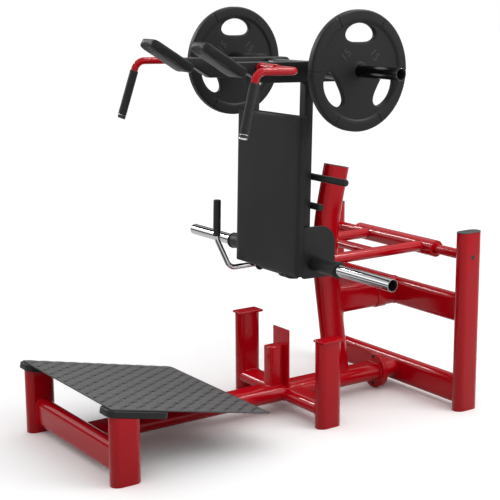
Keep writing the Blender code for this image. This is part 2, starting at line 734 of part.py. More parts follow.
def build_lever(lever, carriage):
    """The sleeve and its bushes on the pivot, the two arms and the tube across them."""
    half = SLEEVE_LENGTH / 2
    place(round_bar("pivot_sleeve", SLEEVE_RADIUS, SLEEVE_BORE, (-half, 0, 0), SLEEVE_LENGTH, SHAFT_STEPS),
          "red_paint", lever)
    sleeve_cut = tool(round_bar("sleeve_cut", SLEEVE_RADIUS + SEAM, 0, (-half, 0, 0), SLEEVE_LENGTH,
                                SHAFT_STEPS), lever)
    bar_cut = tool(round_bar("lower_horn_cut", LOWER_HORN_RADIUS + SEAM, 0,
                             upright(-0.5, LOWER_HORN_Y, LOWER_HORN_Z), 1.0), carriage)
    cross = place(pipe("arm_cross_tube", oval(CROSS_TUBE_DEPTH, CROSS_TUBE_HEIGHT),
                       thin(CROSS_TUBE_DEPTH, CROSS_TUBE_HEIGHT), upright(-ARM_X, CROSS_TUBE_Y, CROSS_TUBE_Z),
                       X_AXIS * 2 * ARM_X, Y_AXIS, Z_AXIS), "red_paint", lever)
    front = LOWER_HORN_Y + ARM_FRONT_START
    for side, sign in SIDES:
        start = sign * (half - BUSH_INSET - BUSH_LENGTH)
        place(round_bar("pivot_bush_" + side, SLEEVE_BORE - SEAM, BUSH_BORE, (start, 0, 0),
                        sign * BUSH_LENGTH, SHAFT_STEPS), "dark_plastic", lever)
        root = upright(sign * ARM_X, front, ARM_Z)
        run = Y_AXIS * (PIVOT_Y - front)
        arm = place(pipe("lever_arm_" + side, oval(ARM_WIDTH, ARM_HEIGHT), thin(ARM_WIDTH, ARM_HEIGHT),
                         root, run, X_AXIS, Z_AXIS), "red_paint", lever)
        shape_with(arm, bar_cut)
        shape_with(arm, sleeve_cut)
        arm_cut = tool(prism("lever_arm_cut_" + side, grown(ARM_WIDTH, ARM_HEIGHT), root, run, X_AXIS, Z_AXIS),
                       lever)
        shape_with(cross, arm_cut)


def build_brackets(carriage):
    """The lower horn bar, its stop collars, and the plates that it passes through."""
    axis = upright(0, LOWER_HORN_Y, LOWER_HORN_Z)
    half = LOWER_HORN_LENGTH / 2
    place(round_bar("lower_horn_bar", LOWER_HORN_RADIUS, LOWER_HORN_RADIUS - LOWER_HORN_WALL,
                    axis - X_AXIS * half, LOWER_HORN_LENGTH), "chrome", carriage)
    corners = [(PLATE_FRONT_Y, PLATE_BOTTOM_Z), (PLATE_REAR_Y, PLATE_BOTTOM_Z), (PLATE_REAR_Y, PLATE_TOP_Z),
               (PLATE_FRONT_Y, PLATE_TOP_Z)]
    radii = [PLATE_SMALL_RADIUS, PLATE_SMALL_RADIUS, PLATE_BIG_RADIUS, PLATE_SMALL_RADIUS]
    outline = rounded(corners, radii, 8)
    for side, sign in SIDES:
        plate = place(slab("bracket_plate_" + side, outline, PLATE_INNER_X, PLATE_THICKNESS, sign),
                      "black_paint", carriage)
        if side == "left":
            ear = lug_outline((RELEASE_SHAFT_Y, RELEASE_SHAFT_Z), EAR_RADIUS,
                              (RELEASE_SHAFT_Y, PLATE_BOTTOM_Z + EAR_RADIUS), EAR_RADIUS)
            shape_with(plate, tool(slab("release_ear", ear, PLATE_INNER_X, PLATE_THICKNESS, sign), carriage),
                       "UNION")
            shaft = upright(-PLATE_OUTER_X - PLATE_THICKNESS, RELEASE_SHAFT_Y, RELEASE_SHAFT_Z)
            shape_with(plate, tool(round_bar("release_ear_bore", RELEASE_BORE, 0, shaft, 3 * PLATE_THICKNESS),
                                   carriage))
        bore = round_bar("bracket_plate_bore_" + side, LOWER_HORN_RADIUS + SEAM, 0,
                         axis + X_AXIS * sign * (PLATE_INNER_X - PLATE_THICKNESS), sign * 3 * PLATE_THICKNESS)
        shape_with(plate, tool(bore, carriage))
        collar = [(LOWER_HORN_RADIUS + SEAM, 0), (LOWER_COLLAR_RADIUS, 0),
                  (LOWER_COLLAR_RADIUS, LOWER_COLLAR_LENGTH - LOWER_FLANGE_THICKNESS),
                  (LOWER_FLANGE_RADIUS, LOWER_COLLAR_LENGTH - LOWER_FLANGE_THICKNESS),
                  (LOWER_FLANGE_RADIUS, LOWER_COLLAR_LENGTH), (LOWER_HORN_RADIUS + SEAM, LOWER_COLLAR_LENGTH)]
        start = axis + X_AXIS * sign * (PLATE_OUTER_X + SEAM)
        rings = [ring(circle(radius), start + X_AXIS * sign * along, Y_AXIS, Z_AXIS) for radius, along in collar]
        place(skin("lower_collar_" + side, rings, loop=True), "rubber", carriage)


def build_rails(carriage):
    """The two square rails and the round pegs welded behind them."""
    outer = box_outline(RAIL_SIZE, RAIL_SIZE, RAIL_CORNER)
    inner = box_outline(RAIL_SIZE - 2 * WALL, RAIL_SIZE - 2 * WALL, RAIL_CORNER - WALL)
    length = TOP_ARM_BOTTOM_Z - SEAM - RAIL_BOTTOM_Z
    for side, sign in SIDES:
        place(pipe("rail_" + side, outer, inner, upright(sign * RAIL_X, RAIL_Y, RAIL_BOTTOM_Z),
                   Z_AXIS * length, X_AXIS, Y_AXIS), "black_paint", carriage)
    for name, z, end in (("peg_upper", PEG_UPPER_Z, PEG_UPPER_END_X), ("peg_lower", PEG_LOWER_Z, PEG_LOWER_END_X)):
        place(round_bar(name, PEG_RADIUS, 0, upright(-RAIL_OUTER_X, PEG_Y, z), end + RAIL_OUTER_X),
              "black_paint", carriage)


def cushion_rings(width, length, thickness, corner, edge, crown, draw):
    """Rings of a cushion that lies on its flat back at z 0, with a crowned face at the top.

    Its rims are round, its face rises by crown to the middle, and each side pulls in by draw
    between the corners.
    """
    corner_steps = 4

    def outline(inset):
        reach = max(corner - inset, 0.001)
        points = box_outline(width - 2 * inset, length - 2 * inset, reach, corner_steps)
        dense = []
        for i, (u, v) in enumerate(points):
            nu, nv = points[(i + 1) % len(points)]
            splits = SIDE_SPLITS if (i + 1) % (corner_steps + 1) == 0 else 1
            for k in range(splits):
                t = k / splits
                dense.append((u + (nu - u) * t, v + (nv - v) * t))
        pulled = []
        for u, v in dense:
            across = 1 - (2 * v / length) ** 2
            along = 1 - (2 * u / width) ** 2
            pulled.append((u - math.copysign(draw * max(across, 0), u) * abs(2 * u / width) ** 8,
                           v - math.copysign(draw * max(along, 0), v) * abs(2 * v / length) ** 8))
        return pulled

    shoulder = thickness - crown
    profile = [(edge * 0.5, 0.0), (edge * 0.12, edge * 0.35), (0.0, thickness * 0.4)]
    profile += [(0.0, shoulder - edge)]
    for k in range(1, 4):
        turn = math.pi / 2 * k / 3
        profile.append((edge * (1 - math.cos(turn)), shoulder - edge * (1 - math.sin(turn))))
    half = min(width, length) / 2
    for share in (0.3, 0.62, 0.92):
        inset = edge + (half - edge) * share
        rise = crown * math.sin(math.pi / 2 * share)
        profile.append((inset, shoulder + rise))
    return [[Vector((u, v, z)) for u, v in outline(inset)] for inset, z in profile]


def build_pads(carriage):
    """The back pad against the rails, and the two shoulder pads under the top arms."""
    rings = cushion_rings(PAD_WIDTH, PAD_HEIGHT, PAD_THICKNESS, PAD_CORNER, PAD_EDGE, PAD_CROWN, PAD_DRAW)
    centre = upright(0, PAD_REAR_Y, PAD_BOTTOM_Z + PAD_HEIGHT / 2)
    place(skin("back_pad", rings), "upholstery", carriage, centre, math.radians(90))
    rings = cushion_rings(SHOULDER_WIDTH, SHOULDER_LENGTH, SHOULDER_THICKNESS, SHOULDER_CORNER, SHOULDER_EDGE,
                          SHOULDER_CROWN, PAD_DRAW)
    for side, sign in SIDES:
        mesh = skin("shoulder_pad_" + side, rings)
        place(mesh, "upholstery", carriage, shoulder_top() + X_AXIS * sign * SHOULDER_X,
              math.pi - SHOULDER_TILT)


def shoulder_top():
    """The middle of a shoulder pad's flat upper face, at X 0, as seen from the pivot."""
    rise = SHOULDER_THICKNESS / 2
    return upright(0, SHOULDER_Y + rise * math.sin(SHOULDER_TILT), SHOULDER_Z + rise * math.cos(SHOULDER_TILT))


def top_arm_outline(inset):
    """The side view of a top arm: its front is cut along the shoulder pad, its rear is rounded."""
    low, high = TOP_ARM_BOTTOM_Z + inset, TOP_ARM_BOTTOM_Z + TOP_ARM_HEIGHT - inset
    rear = TOP_ARM_REAR_Y - inset
    face = shoulder_top()
    slope = math.tan(SHOULDER_TILT)

    def front(z):
        return face.y + PIVOT_Y - (z - face.z - PIVOT_Z) / slope + (SEAM + inset) / math.sin(SHOULDER_TILT)

    corners = [(front(low), low), (rear, low), (rear, high), (front(high), high)]
    reach = TOP_ARM_CORNER - inset
    return rounded(corners, [0.002, reach, reach, 0.002], 6)


def build_top_arms(carriage):
    """The top arms with their handle sockets, the top horn bar and its stop collars."""
    inner_x = RAIL_OUTER_X - RAIL_SIZE
    axis = upright(0, TOP_HORN_Y, TOP_HORN_Z)
    for side, sign in SIDES:
        arm = place(slab("top_arm_" + side, top_arm_outline(0), inner_x, RAIL_SIZE, sign), "black_paint", carriage)
        hollow = slab("top_arm_hollow_" + side, top_arm_outline(WALL), inner_x + WALL, RAIL_SIZE - 2 * WALL, sign)
        shape_with(arm, tool(hollow, carriage))
        bore = round_bar("top_arm_bore_" + side, TOP_HORN_RADIUS + SEAM, 0,
                         axis + X_AXIS * sign * (inner_x - WALL), sign * (RAIL_SIZE + 2 * WALL))
        shape_with(arm, tool(bore, carriage))
        root = upright(sign * (RAIL_OUTER_X - WALL / 2), HANDLE_ROOT_Y, HANDLE_Z)
        socket = round_bar("handle_socket_" + side, SOCKET_RADIUS, SOCKET_BORE, root,
                           sign * (SOCKET_LENGTH + WALL / 2))
        shape_with(arm, tool(socket, carriage), "UNION")
        place(round_bar("top_collar_" + side, TOP_COLLAR_RADIUS, TOP_HORN_RADIUS + SEAM,
                        axis + X_AXIS * sign * (RAIL_OUTER_X + SEAM), sign * TOP_COLLAR_LENGTH),
              "black_paint", carriage)
    place(round_bar("top_horn_bar", TOP_HORN_RADIUS, TOP_HORN_RADIUS - TOP_HORN_WALL,
                    axis - X_AXIS * TOP_HORN_LENGTH / 2, TOP_HORN_LENGTH), "dark_chrome", carriage)


def build_handles(carriage):
    """The bent handle tubes in their sockets, with a grip sleeve on each."""
    inner = circle(HANDLE_RADIUS - HANDLE_WALL, ROD_STEPS)
    for side, sign in SIDES:
        fall = Vector((sign * GRIP_AXIS.x, GRIP_AXIS.y, GRIP_AXIS.z))
        root = upright(sign * (RAIL_OUTER_X + SEAM), HANDLE_ROOT_Y, HANDLE_Z)
        bend = upright(sign * HANDLE_OUT_X, HANDLE_ROOT_Y, HANDLE_Z)
        front = upright(sign * HANDLE_OUT_X, HANDLE_FRONT_Y, HANDLE_Z)
        end = front + fall * (GRIP_START + GRIP_LENGTH)
        path = bend_path([root, bend, front, end], [HANDLE_ROOT_BEND, HANDLE_FRONT_BEND])
        place(swept("handle_" + side, circle(HANDLE_RADIUS, ROD_STEPS), path, Z_AXIS, inner), "red_paint", carriage)
        across = fall.cross(X_AXIS).normalized()
        place(pipe("handle_grip_" + side, circle(GRIP_RADIUS), circle(SOCKET_BORE), front + fall * GRIP_START,
                   fall * GRIP_LENGTH, across, fall.cross(across)), "rubber", carriage)


def grip_hole_outline(middle):
    """A rounded, bent hole for the fingers, round the direction called middle."""
    outline = []
    for k in range(GRIP_HOLE_STEPS):
        turn = 2 * math.pi * (k + 0.5) / GRIP_HOLE_STEPS
        u, v = math.cos(turn), math.sin(turn)
        reach = (abs(u) ** GRIP_HOLE_FULLNESS + abs(v) ** GRIP_HOLE_FULLNESS) ** (-1 / GRIP_HOLE_FULLNESS)
        radius = GRIP_HOLE_RADIUS + v * reach * GRIP_HOLE_DEPTH / 2
        angle = middle + u * reach * GRIP_HOLE_WIDTH / 2 / GRIP_HOLE_RADIUS
        outline.append((radius * math.cos(angle), radius * math.sin(angle)))
    return outline


def build_weights(carriage):
    """The two weight plates, each against its stop collar, with a raised rim and three grip holes."""
    half = WEIGHT_THICKNESS / 2
    web = WEIGHT_WEB / 2
    bore = TOP_HORN_RADIUS + RUNNING_GAP
    profile = [(bore, half), (WEIGHT_HUB_RADIUS, half), (WEIGHT_HUB_RADIUS + WEIGHT_SLOPE, web),
               (WEIGHT_RIM_INNER - WEIGHT_SLOPE, web), (WEIGHT_RIM_INNER, half),
               (WEIGHT_RADIUS - WEIGHT_EDGE, half), (WEIGHT_RADIUS, half - WEIGHT_EDGE)]
    profile += [(radius, -offset) for radius, offset in reversed(profile)]
    for side, sign in SIDES:
        start = sign * (RAIL_OUTER_X + SEAM + TOP_COLLAR_LENGTH + SEAM + half)
        axis = axis_empty("weight_axis_" + side, carriage, upright(start, TOP_HORN_Y, TOP_HORN_Z))
        rings = [ring(circle(radius, PLATE_STEPS), (offset, 0, 0), Y_AXIS, Z_AXIS) for radius, offset in profile]
        plate = place(skin("weight_plate_" + side, rings, loop=True), "rubber", axis)
        for k in range(GRIP_HOLES):
            outline = grip_hole_outline(math.pi / 2 + 2 * math.pi * k / GRIP_HOLES)
            hole = prism(f"grip_hole_{side}_{k}", outline, (-half - WALL, 0, 0), X_AXIS * (2 * half + 2 * WALL),
                         Y_AXIS, Z_AXIS)
            shape_with(plate, tool(hole, axis))


# Release lever

def build_release(carriage):
    """The release lever: a bent rod with its cross shaft and hook, its grip, and its bearing."""
    pivot = axis_empty("release_axis", carriage, upright(0, RELEASE_SHAFT_Y, RELEASE_SHAFT_Z))

    def lever(x, y, z):
        return Vector((x, y - RELEASE_SHAFT_Y, z - RELEASE_SHAFT_Z))

    shaft_end = HOOK_CENTRE_X + HOOK_WIDTH / 2 - SEAM
    corners = [lever(-RELEASE_X, RELEASE_GRIP_Y, RELEASE_GRIP_TOP - RELEASE_GRIP_END - SEAM),
               lever(-RELEASE_X, RELEASE_GRIP_Y, RELEASE_KNEE_Z),
               lever(-RELEASE_X, RELEASE_LOW_Y, RELEASE_LOW_Z),
               lever(-RELEASE_X, RELEASE_SHAFT_Y, RELEASE_SHAFT_Z),
               lever(shaft_end, RELEASE_SHAFT_Y, RELEASE_SHAFT_Z)]
    bends = [2 * RELEASE_BEND, RELEASE_BEND, 1.5 * RELEASE_RADIUS]
    rod = place(swept("release_rod", circle(RELEASE_RADIUS, ROD_STEPS), bend_path(corners, bends), X_AXIS),
                "chrome", pivot)
    nose = (HOOK_REACH, -HOOK_REACH * 0.45)
    hook = lug_outline((0, 0), HOOK_HUB_RADIUS, nose, HOOK_NOSE_RADIUS)
    low = HOOK_CENTRE_X - HOOK_WIDTH / 2
    mesh = prism("catch_hook", hook, (low, 0, 0), X_AXIS * HOOK_WIDTH, Y_AXIS, Z_AXIS)
    shape_with(rod, tool(mesh, pivot), "UNION")

    def level(radius, z):
        return ring(circle(radius, ROD_STEPS), lever(-RELEASE_X, RELEASE_GRIP_Y, z), X_AXIS, Y_AXIS)

    bore = RELEASE_RADIUS + SEAM
    rings = [level(RELEASE_GRIP_RADIUS, RELEASE_GRIP_TOP), level(RELEASE_GRIP_RADIUS, RELEASE_GRIP_BOTTOM),
             level(bore, RELEASE_GRIP_BOTTOM), level(bore, RELEASE_GRIP_TOP - RELEASE_GRIP_END)]
    place(skin("release_grip", rings), "rubber", pivot)

    outline = lug_outline((LOWER_HORN_Y, LOWER_HORN_Z), BEARING_BAR_RADIUS,
                          (RELEASE_SHAFT_Y, RELEASE_SHAFT_Z), BEARING_SHAFT_RADIUS)
    start = BEARING_X - BEARING_WIDTH / 2
    lug = place(slab("release_bearing", outline, start, BEARING_WIDTH, 1), "black_paint", carriage)
    for name, radius, y, z in (("bearing_bar_bore", LOWER_HORN_RADIUS + SEAM, LOWER_HORN_Y, LOWER_HORN_Z),
                               ("bearing_shaft_bore", RELEASE_BORE, RELEASE_SHAFT_Y, RELEASE_SHAFT_Z)):
        bore_tool = round_bar(name, radius, 0, upright(start - BEARING_WIDTH, y, z), 3 * BEARING_WIDTH)
        shape_with(lug, tool(bore_tool, carriage))


def main():
    """Builds the whole machine in an empty scene."""
    for old in list(bpy.data.objects):
        bpy.data.objects.remove(old)
    machine = axis_empty("machine", None, (0, -DATUM_Y, 0))
    tools = cutters(machine)
    build_posts(machine)
    build_crossbars(machine, tools)
    build_beam(machine, tools)
    build_catch(machine, tools)
    build_column(machine, tools)
    build_shaft(machine, tools)
    build_tread(machine, tools)
    pivot = (0, PIVOT_Y, PIVOT_Z)
    lever = axis_empty("lever_axis", machine, pivot)
    carriage = axis_empty("carriage_axis", machine, pivot, -CARRIAGE_LEAN)
    build_lever(lever, carriage)
    build_brackets(carriage)
    build_rails(carriage)
    build_pads(carriage)
    build_top_arms(carriage)
    build_handles(carriage)
    build_weights(carriage)
    build_release(carriage)


main()
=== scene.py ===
"""Standing calf raise machine: its looks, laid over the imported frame.

Pieces are made in the layout's measures, in metres: the tread faces -Y, left is -X, and the carriage
stands upright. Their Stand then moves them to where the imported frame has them.
"""

import logging
import math
from dataclasses import dataclass
from enum import Enum
from functools import cache
from typing import Any, Callable, Optional, Sequence

import bmesh
import bpy
from mathutils import Matrix, Vector, geometry
from mathutils.bvhtree import BVHTree


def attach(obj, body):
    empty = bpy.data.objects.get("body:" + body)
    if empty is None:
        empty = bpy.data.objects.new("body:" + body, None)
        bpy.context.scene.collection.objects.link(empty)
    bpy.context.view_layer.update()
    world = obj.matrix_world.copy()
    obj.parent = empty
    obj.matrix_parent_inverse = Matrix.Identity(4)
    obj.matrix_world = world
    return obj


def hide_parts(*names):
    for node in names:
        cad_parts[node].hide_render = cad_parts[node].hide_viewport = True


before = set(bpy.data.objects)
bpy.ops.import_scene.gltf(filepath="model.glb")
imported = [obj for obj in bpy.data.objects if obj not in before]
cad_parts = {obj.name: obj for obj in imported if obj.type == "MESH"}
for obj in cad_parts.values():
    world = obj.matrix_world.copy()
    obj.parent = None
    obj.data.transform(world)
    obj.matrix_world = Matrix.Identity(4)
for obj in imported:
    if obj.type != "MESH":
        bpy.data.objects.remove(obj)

LOG = logging.getLogger("calf_raise")

Outline = list[tuple[float, float]]
Ring = list[Vector]
Pair = tuple[float, float]
Triple = tuple[float, float, float]
Tree = bpy.types.NodeTree
Socket = bpy.types.NodeSocket

X_AXIS = Vector((1, 0, 0))
Y_AXIS = Vector((0, 1, 0))
Z_AXIS = Vector((0, 0, 1))
SIDES = (("left", -1), ("right", 1))
WHITE = (1, 1, 1, 1)

DATUM_SHIFT = 0.010928
PIVOT = Vector((0, 0.778, 0.652))
CARRIAGE_LEAN = math.radians(1.5)

TUBE = (0.060, 0.120)
POST = (0.058, 0.114)
BEAM = (0.120, 0.070)
MID_BAR = (0.110, 0.055)
CROWN = 0.09
TUBE_STEPS = 64
FLAT_PARTS = 10
TUBE_SHARP = 50
SEAM = 0.0003
BEAD_STEP = 0.004
BEAD_RIPPLE = 0.14
BEAD_WAVE = 2.4
LANDING_INSET = 0.01
LEAST_RADIUS = 1e-5


def at(x: float, y: float, z: float) -> Vector:
    """A point of the layout."""
    return Vector((x, y, z))


def linked(name: str, data: bpy.types.ID) -> bpy.types.Object:
    """Puts data into the scene.

    Args:
        name: The new object's name.
        data: What the object holds.

    Returns:
        The object.
    """
    thing = bpy.data.objects.new(name, data)
    bpy.context.scene.collection.objects.link(thing)
    return thing


class Stand(Enum):
    """What a piece's measures are taken from."""

    FLOOR = "floor"
    CARRIAGE = "carriage"

    @property
    def matrix(self) -> Matrix:
        """The move from the layout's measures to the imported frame.

        Returns:
            The move as a matrix.
        """
        shift = Matrix.Translation((0, DATUM_SHIFT, 0))
        if self is Stand.FLOOR:
            return shift
        lean = Matrix.Rotation(-CARRIAGE_LEAN, 4, "X")
        return shift @ Matrix.Translation(PIVOT) @ lean @ Matrix.Translation(-PIVOT)


# Nodes and finishes

def feed(tree: Tree, node: bpy.types.Node, inputs: dict[Any, Any]) -> None:
    """Sets a node's inputs.

    Args:
        tree: The nodes that it belongs to.
        node: The node.
        inputs: For each input, its value or the socket that drives it.
    """
    for key, value in inputs.items():
        if isinstance(value, Socket):
            tree.links.new(value, node.inputs[key])
        else:
            node.inputs[key].default_value = value


def socket(tree: Tree, kind: str, output: Any, inputs: dict[Any, Any], **settings: str) -> Socket:
    """Adds a shader node.

    Args:
        tree: The nodes that it joins.
        kind: Its type.
        output: The name or number of the output that is wanted.
        inputs: For each input, its value or the socket that drives it.
        settings: The node's own settings.

    Returns:
        The output.
    """
    node = tree.nodes.new("ShaderNode" + kind)
    for name, value in settings.items():
        setattr(node, name, value)
    feed(tree, node, inputs)
    return node.outputs[output]


class Grain(Enum):
    """The surface texture that a finish has."""

    PAINT = "paint"
    LEATHER = "leather"
    RUBBER = "rubber"
    MOULDED = "moulded"
    POLISHED = "polished"
    ROLLED = "rolled"


@dataclass(frozen=True)
class Finish:
    """A procedural finish, from its colour down to its grain."""

    name: str
    slot: str
    colour: Triple
    roughness: float
    grain: Grain
    grain_size: float = 0.002
    relief: float = 0.0001
    metallic: float = 0.0
    specular: float = 0.5
    mottle: float = 0.12
    mottle_size: float = 0.08
    roughness_spread: float = 0.04

    @cache
    def material(self) -> bpy.types.Material:
        """Makes the finish once, and gives it again after that.

        Returns:
            The finish as a node material.
        """
        material = bpy.data.materials.new(self.name)
        material.use_nodes = True
        tree = material.node_tree
        place = socket(tree, "TexCoord", "Object", {})
        cloud = self._noise(tree, place, 1 / self.mottle_size, 4)
        dark, light = ((*(c * (1 + way * self.mottle) for c in self.colour), 1) for way in (-1, 1))
        smear = self._noise(tree, place, 3 / self.mottle_size, 6)
        feed(tree, tree.nodes["Principled BSDF"], {
            "Base Color": socket(tree, "Mix", "Result", {"Factor": cloud, "A": dark, "B": light},
                                 data_type="RGBA"),
            "Metallic": self.metallic,
            "Specular IOR Level": self.specular,
            "Roughness": socket(tree, "MapRange", "Result", {
                "Value": smear, "To Min": self.roughness - self.roughness_spread,
                "To Max": self.roughness + self.roughness_spread}),
            "Normal": socket(tree, "Bump", "Normal", {
                "Strength": 1.0, "Distance": self.relief, "Height": self._grain(tree, place)})})
        return material

    @staticmethod
    def _noise(tree: Tree, place: Socket, scale: float, detail: float) -> Socket:
        """A noise texture's value at place, with this scale per metre and this many octaves."""
        return socket(tree, "TexNoise", "Fac", {"Scale": scale, "Detail": detail, "Vector": place})

    def _grain(self, tree: Tree, place: Socket) -> Socket:
        """Adds the grain's own pattern.

        Args:
            tree: The material's nodes.
            place: The coordinates that it reads.

        Returns:
            The height that the bump follows.
        """
        if self.grain in (Grain.LEATHER, Grain.MOULDED, Grain.RUBBER):
            feature, top = ("DISTANCE_TO_EDGE", 0.35) if self.grain is Grain.LEATHER else ("SMOOTH_F1", 1.0)
            cells = socket(tree, "TexVoronoi", "Distance", {
                "Scale": 1 / self.grain_size, "Randomness": 1.0, "Vector": place}, feature=feature)
            return socket(tree, "MapRange", "Result", {"From Max": top, "Value": cells})
        if self.grain is Grain.ROLLED:
            place = socket(tree, "Mapping", "Vector", {"Scale": (0.15, 1.0, 1.0), "Vector": place})
        return self._noise(tree, place, 1 / self.grain_size, 3)


RED_PAINT = Finish("red_gloss_paint", "frame_paint", (0.52, 0.0012, 0.008), 0.15, Grain.PAINT, 0.006,
                   0.000006, specular=0.2, mottle=0.03, roughness_spread=0.01)
BLACK_PAINT = Finish("black_satin_paint", "carriage_paint", (0.0135, 0.0135, 0.014), 0.42, Grain.PAINT,
                     0.0012, 0.00005, specular=0.2, mottle=0.1)
TREAD_STEEL = Finish("tread_steel", "tread_sheet", (0.085, 0.085, 0.087), 0.62, Grain.ROLLED, 0.0012,
                     0.00015, specular=0.25, mottle=0.25, mottle_size=0.02)
# The raised ridges are lighter than the sheet: partly wear on their tops, partly a painted highlight for the
# light that falls on them.
TREAD_WORN_HIGHLIGHT = Finish("tread_worn_highlight", "tread_sheet", (0.125, 0.125, 0.127), 0.55, Grain.ROLLED, 0.0012,
                    0.0001, specular=0.3, mottle=0.25, mottle_size=0.02)
CAP_PLASTIC = Finish("cap_plastic", "end_cap", (0.035, 0.036, 0.038), 0.5, Grain.MOULDED, 0.0012, 0.00012)
CAP_BLACK = Finish("cap_black", "end_cap", (0.006, 0.006, 0.006), 0.6, Grain.MOULDED, 0.0012, 0.00012)
COVER = Finish("pad_leather", "pad_cover", (0.0175, 0.0175, 0.018), 0.48, Grain.LEATHER, 0.0022, 0.00018,
               specular=0.16, mottle=0.12, mottle_size=0.05)
GRIP = Finish("ribbed_rubber", "grip_rubber", (0.017, 0.017, 0.0175), 0.58, Grain.RUBBER, 0.0008, 0.00016,
              specular=0.25)
STOP_RUBBER = Finish("sleeve_rubber", "stop_rubber", (0.016, 0.016, 0.0165), 0.5, Grain.RUBBER, 0.001,
                     0.0001, specular=0.25)
PLATE_RUBBER = Finish("weight_rubber", "plate_rubber", (0.0145, 0.0145, 0.0147), 0.5, Grain.RUBBER, 0.0016,
                      0.00022, specular=0.16, mottle=0.1, mottle_size=0.05)
BRIGHT_CHROME = Finish("polished_chrome", "bright_chrome", (0.42, 0.42, 0.43), 0.07, Grain.POLISHED, 0.02,
                       0.000002, metallic=1.0, mottle=0.02, roughness_spread=0.02)
DARK_CHROME = Finish("smoked_chrome", "dark_chrome", (0.075, 0.075, 0.078), 0.16, Grain.POLISHED, 0.02,
                     0.00002, metallic=1.0, mottle=0.05, roughness_spread=0.03)
BLACK_STEEL = Finish("black_fastener", "end_cap", (0.012, 0.012, 0.012), 0.35, Grain.PAINT, 0.001, 0.00004,
                     metallic=0.6)


# Outlines and paths

def oval(width: float, height: float) -> Outline:
    """The outline of a flat-sided tube whose flats are slightly crowned, centred.

    Args:
        width: Its size across.
        height: Its size upwards.

    Returns:
        The points, counter-clockwise.
    """
    radius = min(width, height) / 2
    spread = max(width, height) / 2
    outline = []
    for k in range(TUBE_STEPS):
        turn = math.tau * (k + 0.5) / TUBE_STEPS
        u, v = radius * math.cos(turn), radius * math.sin(turn)
        u += math.copysign(width / 2 - radius, u)
        v += math.copysign(height / 2 - radius, v)
        outline.append((u, v))
    full = []
    for here, there in zip(outline, outline[1:] + outline[:1]):
        parts = FLAT_PARTS if math.dist(here, there) > radius / 2 else 1
        full += [tuple(a + (b - a) * k / parts for a, b in zip(here, there)) for k in range(parts)]
    crowned = []
    for u, v in full:
        share = 1 - CROWN * ((u if width > height else v) / spread) ** 2
        crowned.append((u, v * share) if width > height else (u * share, v))
    return crowned


def circle(radius: float, steps: int = 40) -> Outline:
    """A round section."""
    turns = [math.tau * i / steps for i in range(steps)]
    return [(radius * math.cos(a), radius * math.sin(a)) for a in turns]


def fillet(before: Vector, corner: Vector, after: Vector, radius: float,
           count: Callable[[float], int]) -> Ring:
    """The arc that rounds a corner.

    Args:
        before: The point before the corner.
        corner: The corner.
        after: The point after it.
        radius: The arc's radius.
        count: Gives the number of steps for the angle that the arc sweeps.

    Returns:
        The points along the arc.
    """
    back = (before - corner).normalized()
    ahead = (after - corner).normalized()
    half = back.angle(ahead) / 2
    centre = corner + (back + ahead).normalized() * radius / math.sin(half)
    start = corner + back * radius / math.tan(half) - centre
    finish = corner + ahead * radius / math.tan(half) - centre
    sweep = start.angle(finish)
    steps = count(sweep)
    points = []
    for k in range(steps + 1):
        share = k / steps
        arm = start * math.sin(sweep * (1 - share)) + finish * math.sin(sweep * share)
        points.append(centre + arm / math.sin(sweep))
    return points


def rounded(corners: Sequence[Pair], radii: Sequence[float], steps: int = 8) -> Outline:
    """A polygon with round corners.

    Args:
        corners: Its corners in order.
        radii: The radius at each corner.
        steps: The number of steps round each corner.

    Returns:
        The outline's points.
    """
    ring_of = [Vector(corner) for corner in corners]
    points: Outline = []
    for i, radius in enumerate(radii):
        after = ring_of[(i + 1) % len(ring_of)]
        points += [tuple(p) for p in fillet(ring_of[i - 1], ring_of[i], after, radius, lambda _: steps)]
    return points


def box_outline(width: float, height: float, corner: float) -> Outline:
    """A centred rectangle with round corners."""
    w, h = width / 2, height / 2
    return rounded([(-w, -h), (w, -h), (w, h), (-w, h)], [corner] * 4, 6)


def lug_outline(first: Pair, first_radius: float, second: Pair, second_radius: float) -> Outline:
    """The outline of a strap round two circles.

    Args:
        first: Centre of the first circle.
        first_radius: Its radius.
        second: Centre of the second circle.
        second_radius: Its radius.

    Returns:
        The outline's points, counter-clockwise.
    """
    steps = 16
    a, b = Vector(first), Vector(second)
    along = math.atan2(b.y - a.y, b.x - a.x)
    spread = math.acos((first_radius - second_radius) / (b - a).length)
    points: Outline = []
    for centre, radius, start, sweep in ((a, first_radius, along + spread, math.tau - 2 * spread),
                                         (b, second_radius, along - spread, 2 * spread)):
        for k in range(steps + 1):
            turn = start + sweep * k / steps
            points.append((centre.x + radius * math.cos(turn), centre.y + radius * math.sin(turn)))
    return points


def bend_path(corners: Sequence[Vector], radii: Sequence[float], step: float = math.radians(6)) -> Ring:
    """A line through corners with round bends.

    Args:
        corners: The line's ends and the corners between them.
        radii: The radius of each bend.
        step: The largest turn from one point to the next.

    Returns:
        The points along it.
    """
    path = [corners[0]]
    for before, corner, after, radius in zip(corners, corners[1:], corners[2:], radii):
        path += fillet(before, corner, after, radius, lambda sweep: max(2, math.ceil(sweep / step)))
    return path + [corners[-1]]


def ring(outline: Outline, origin: Vector, across: Vector = X_AXIS, up: Vector = Y_AXIS) -> Ring:
    """Places an outline in space, its first coordinate along across and its second along up."""
    return [origin + across * u + up * v for u, v in outline]


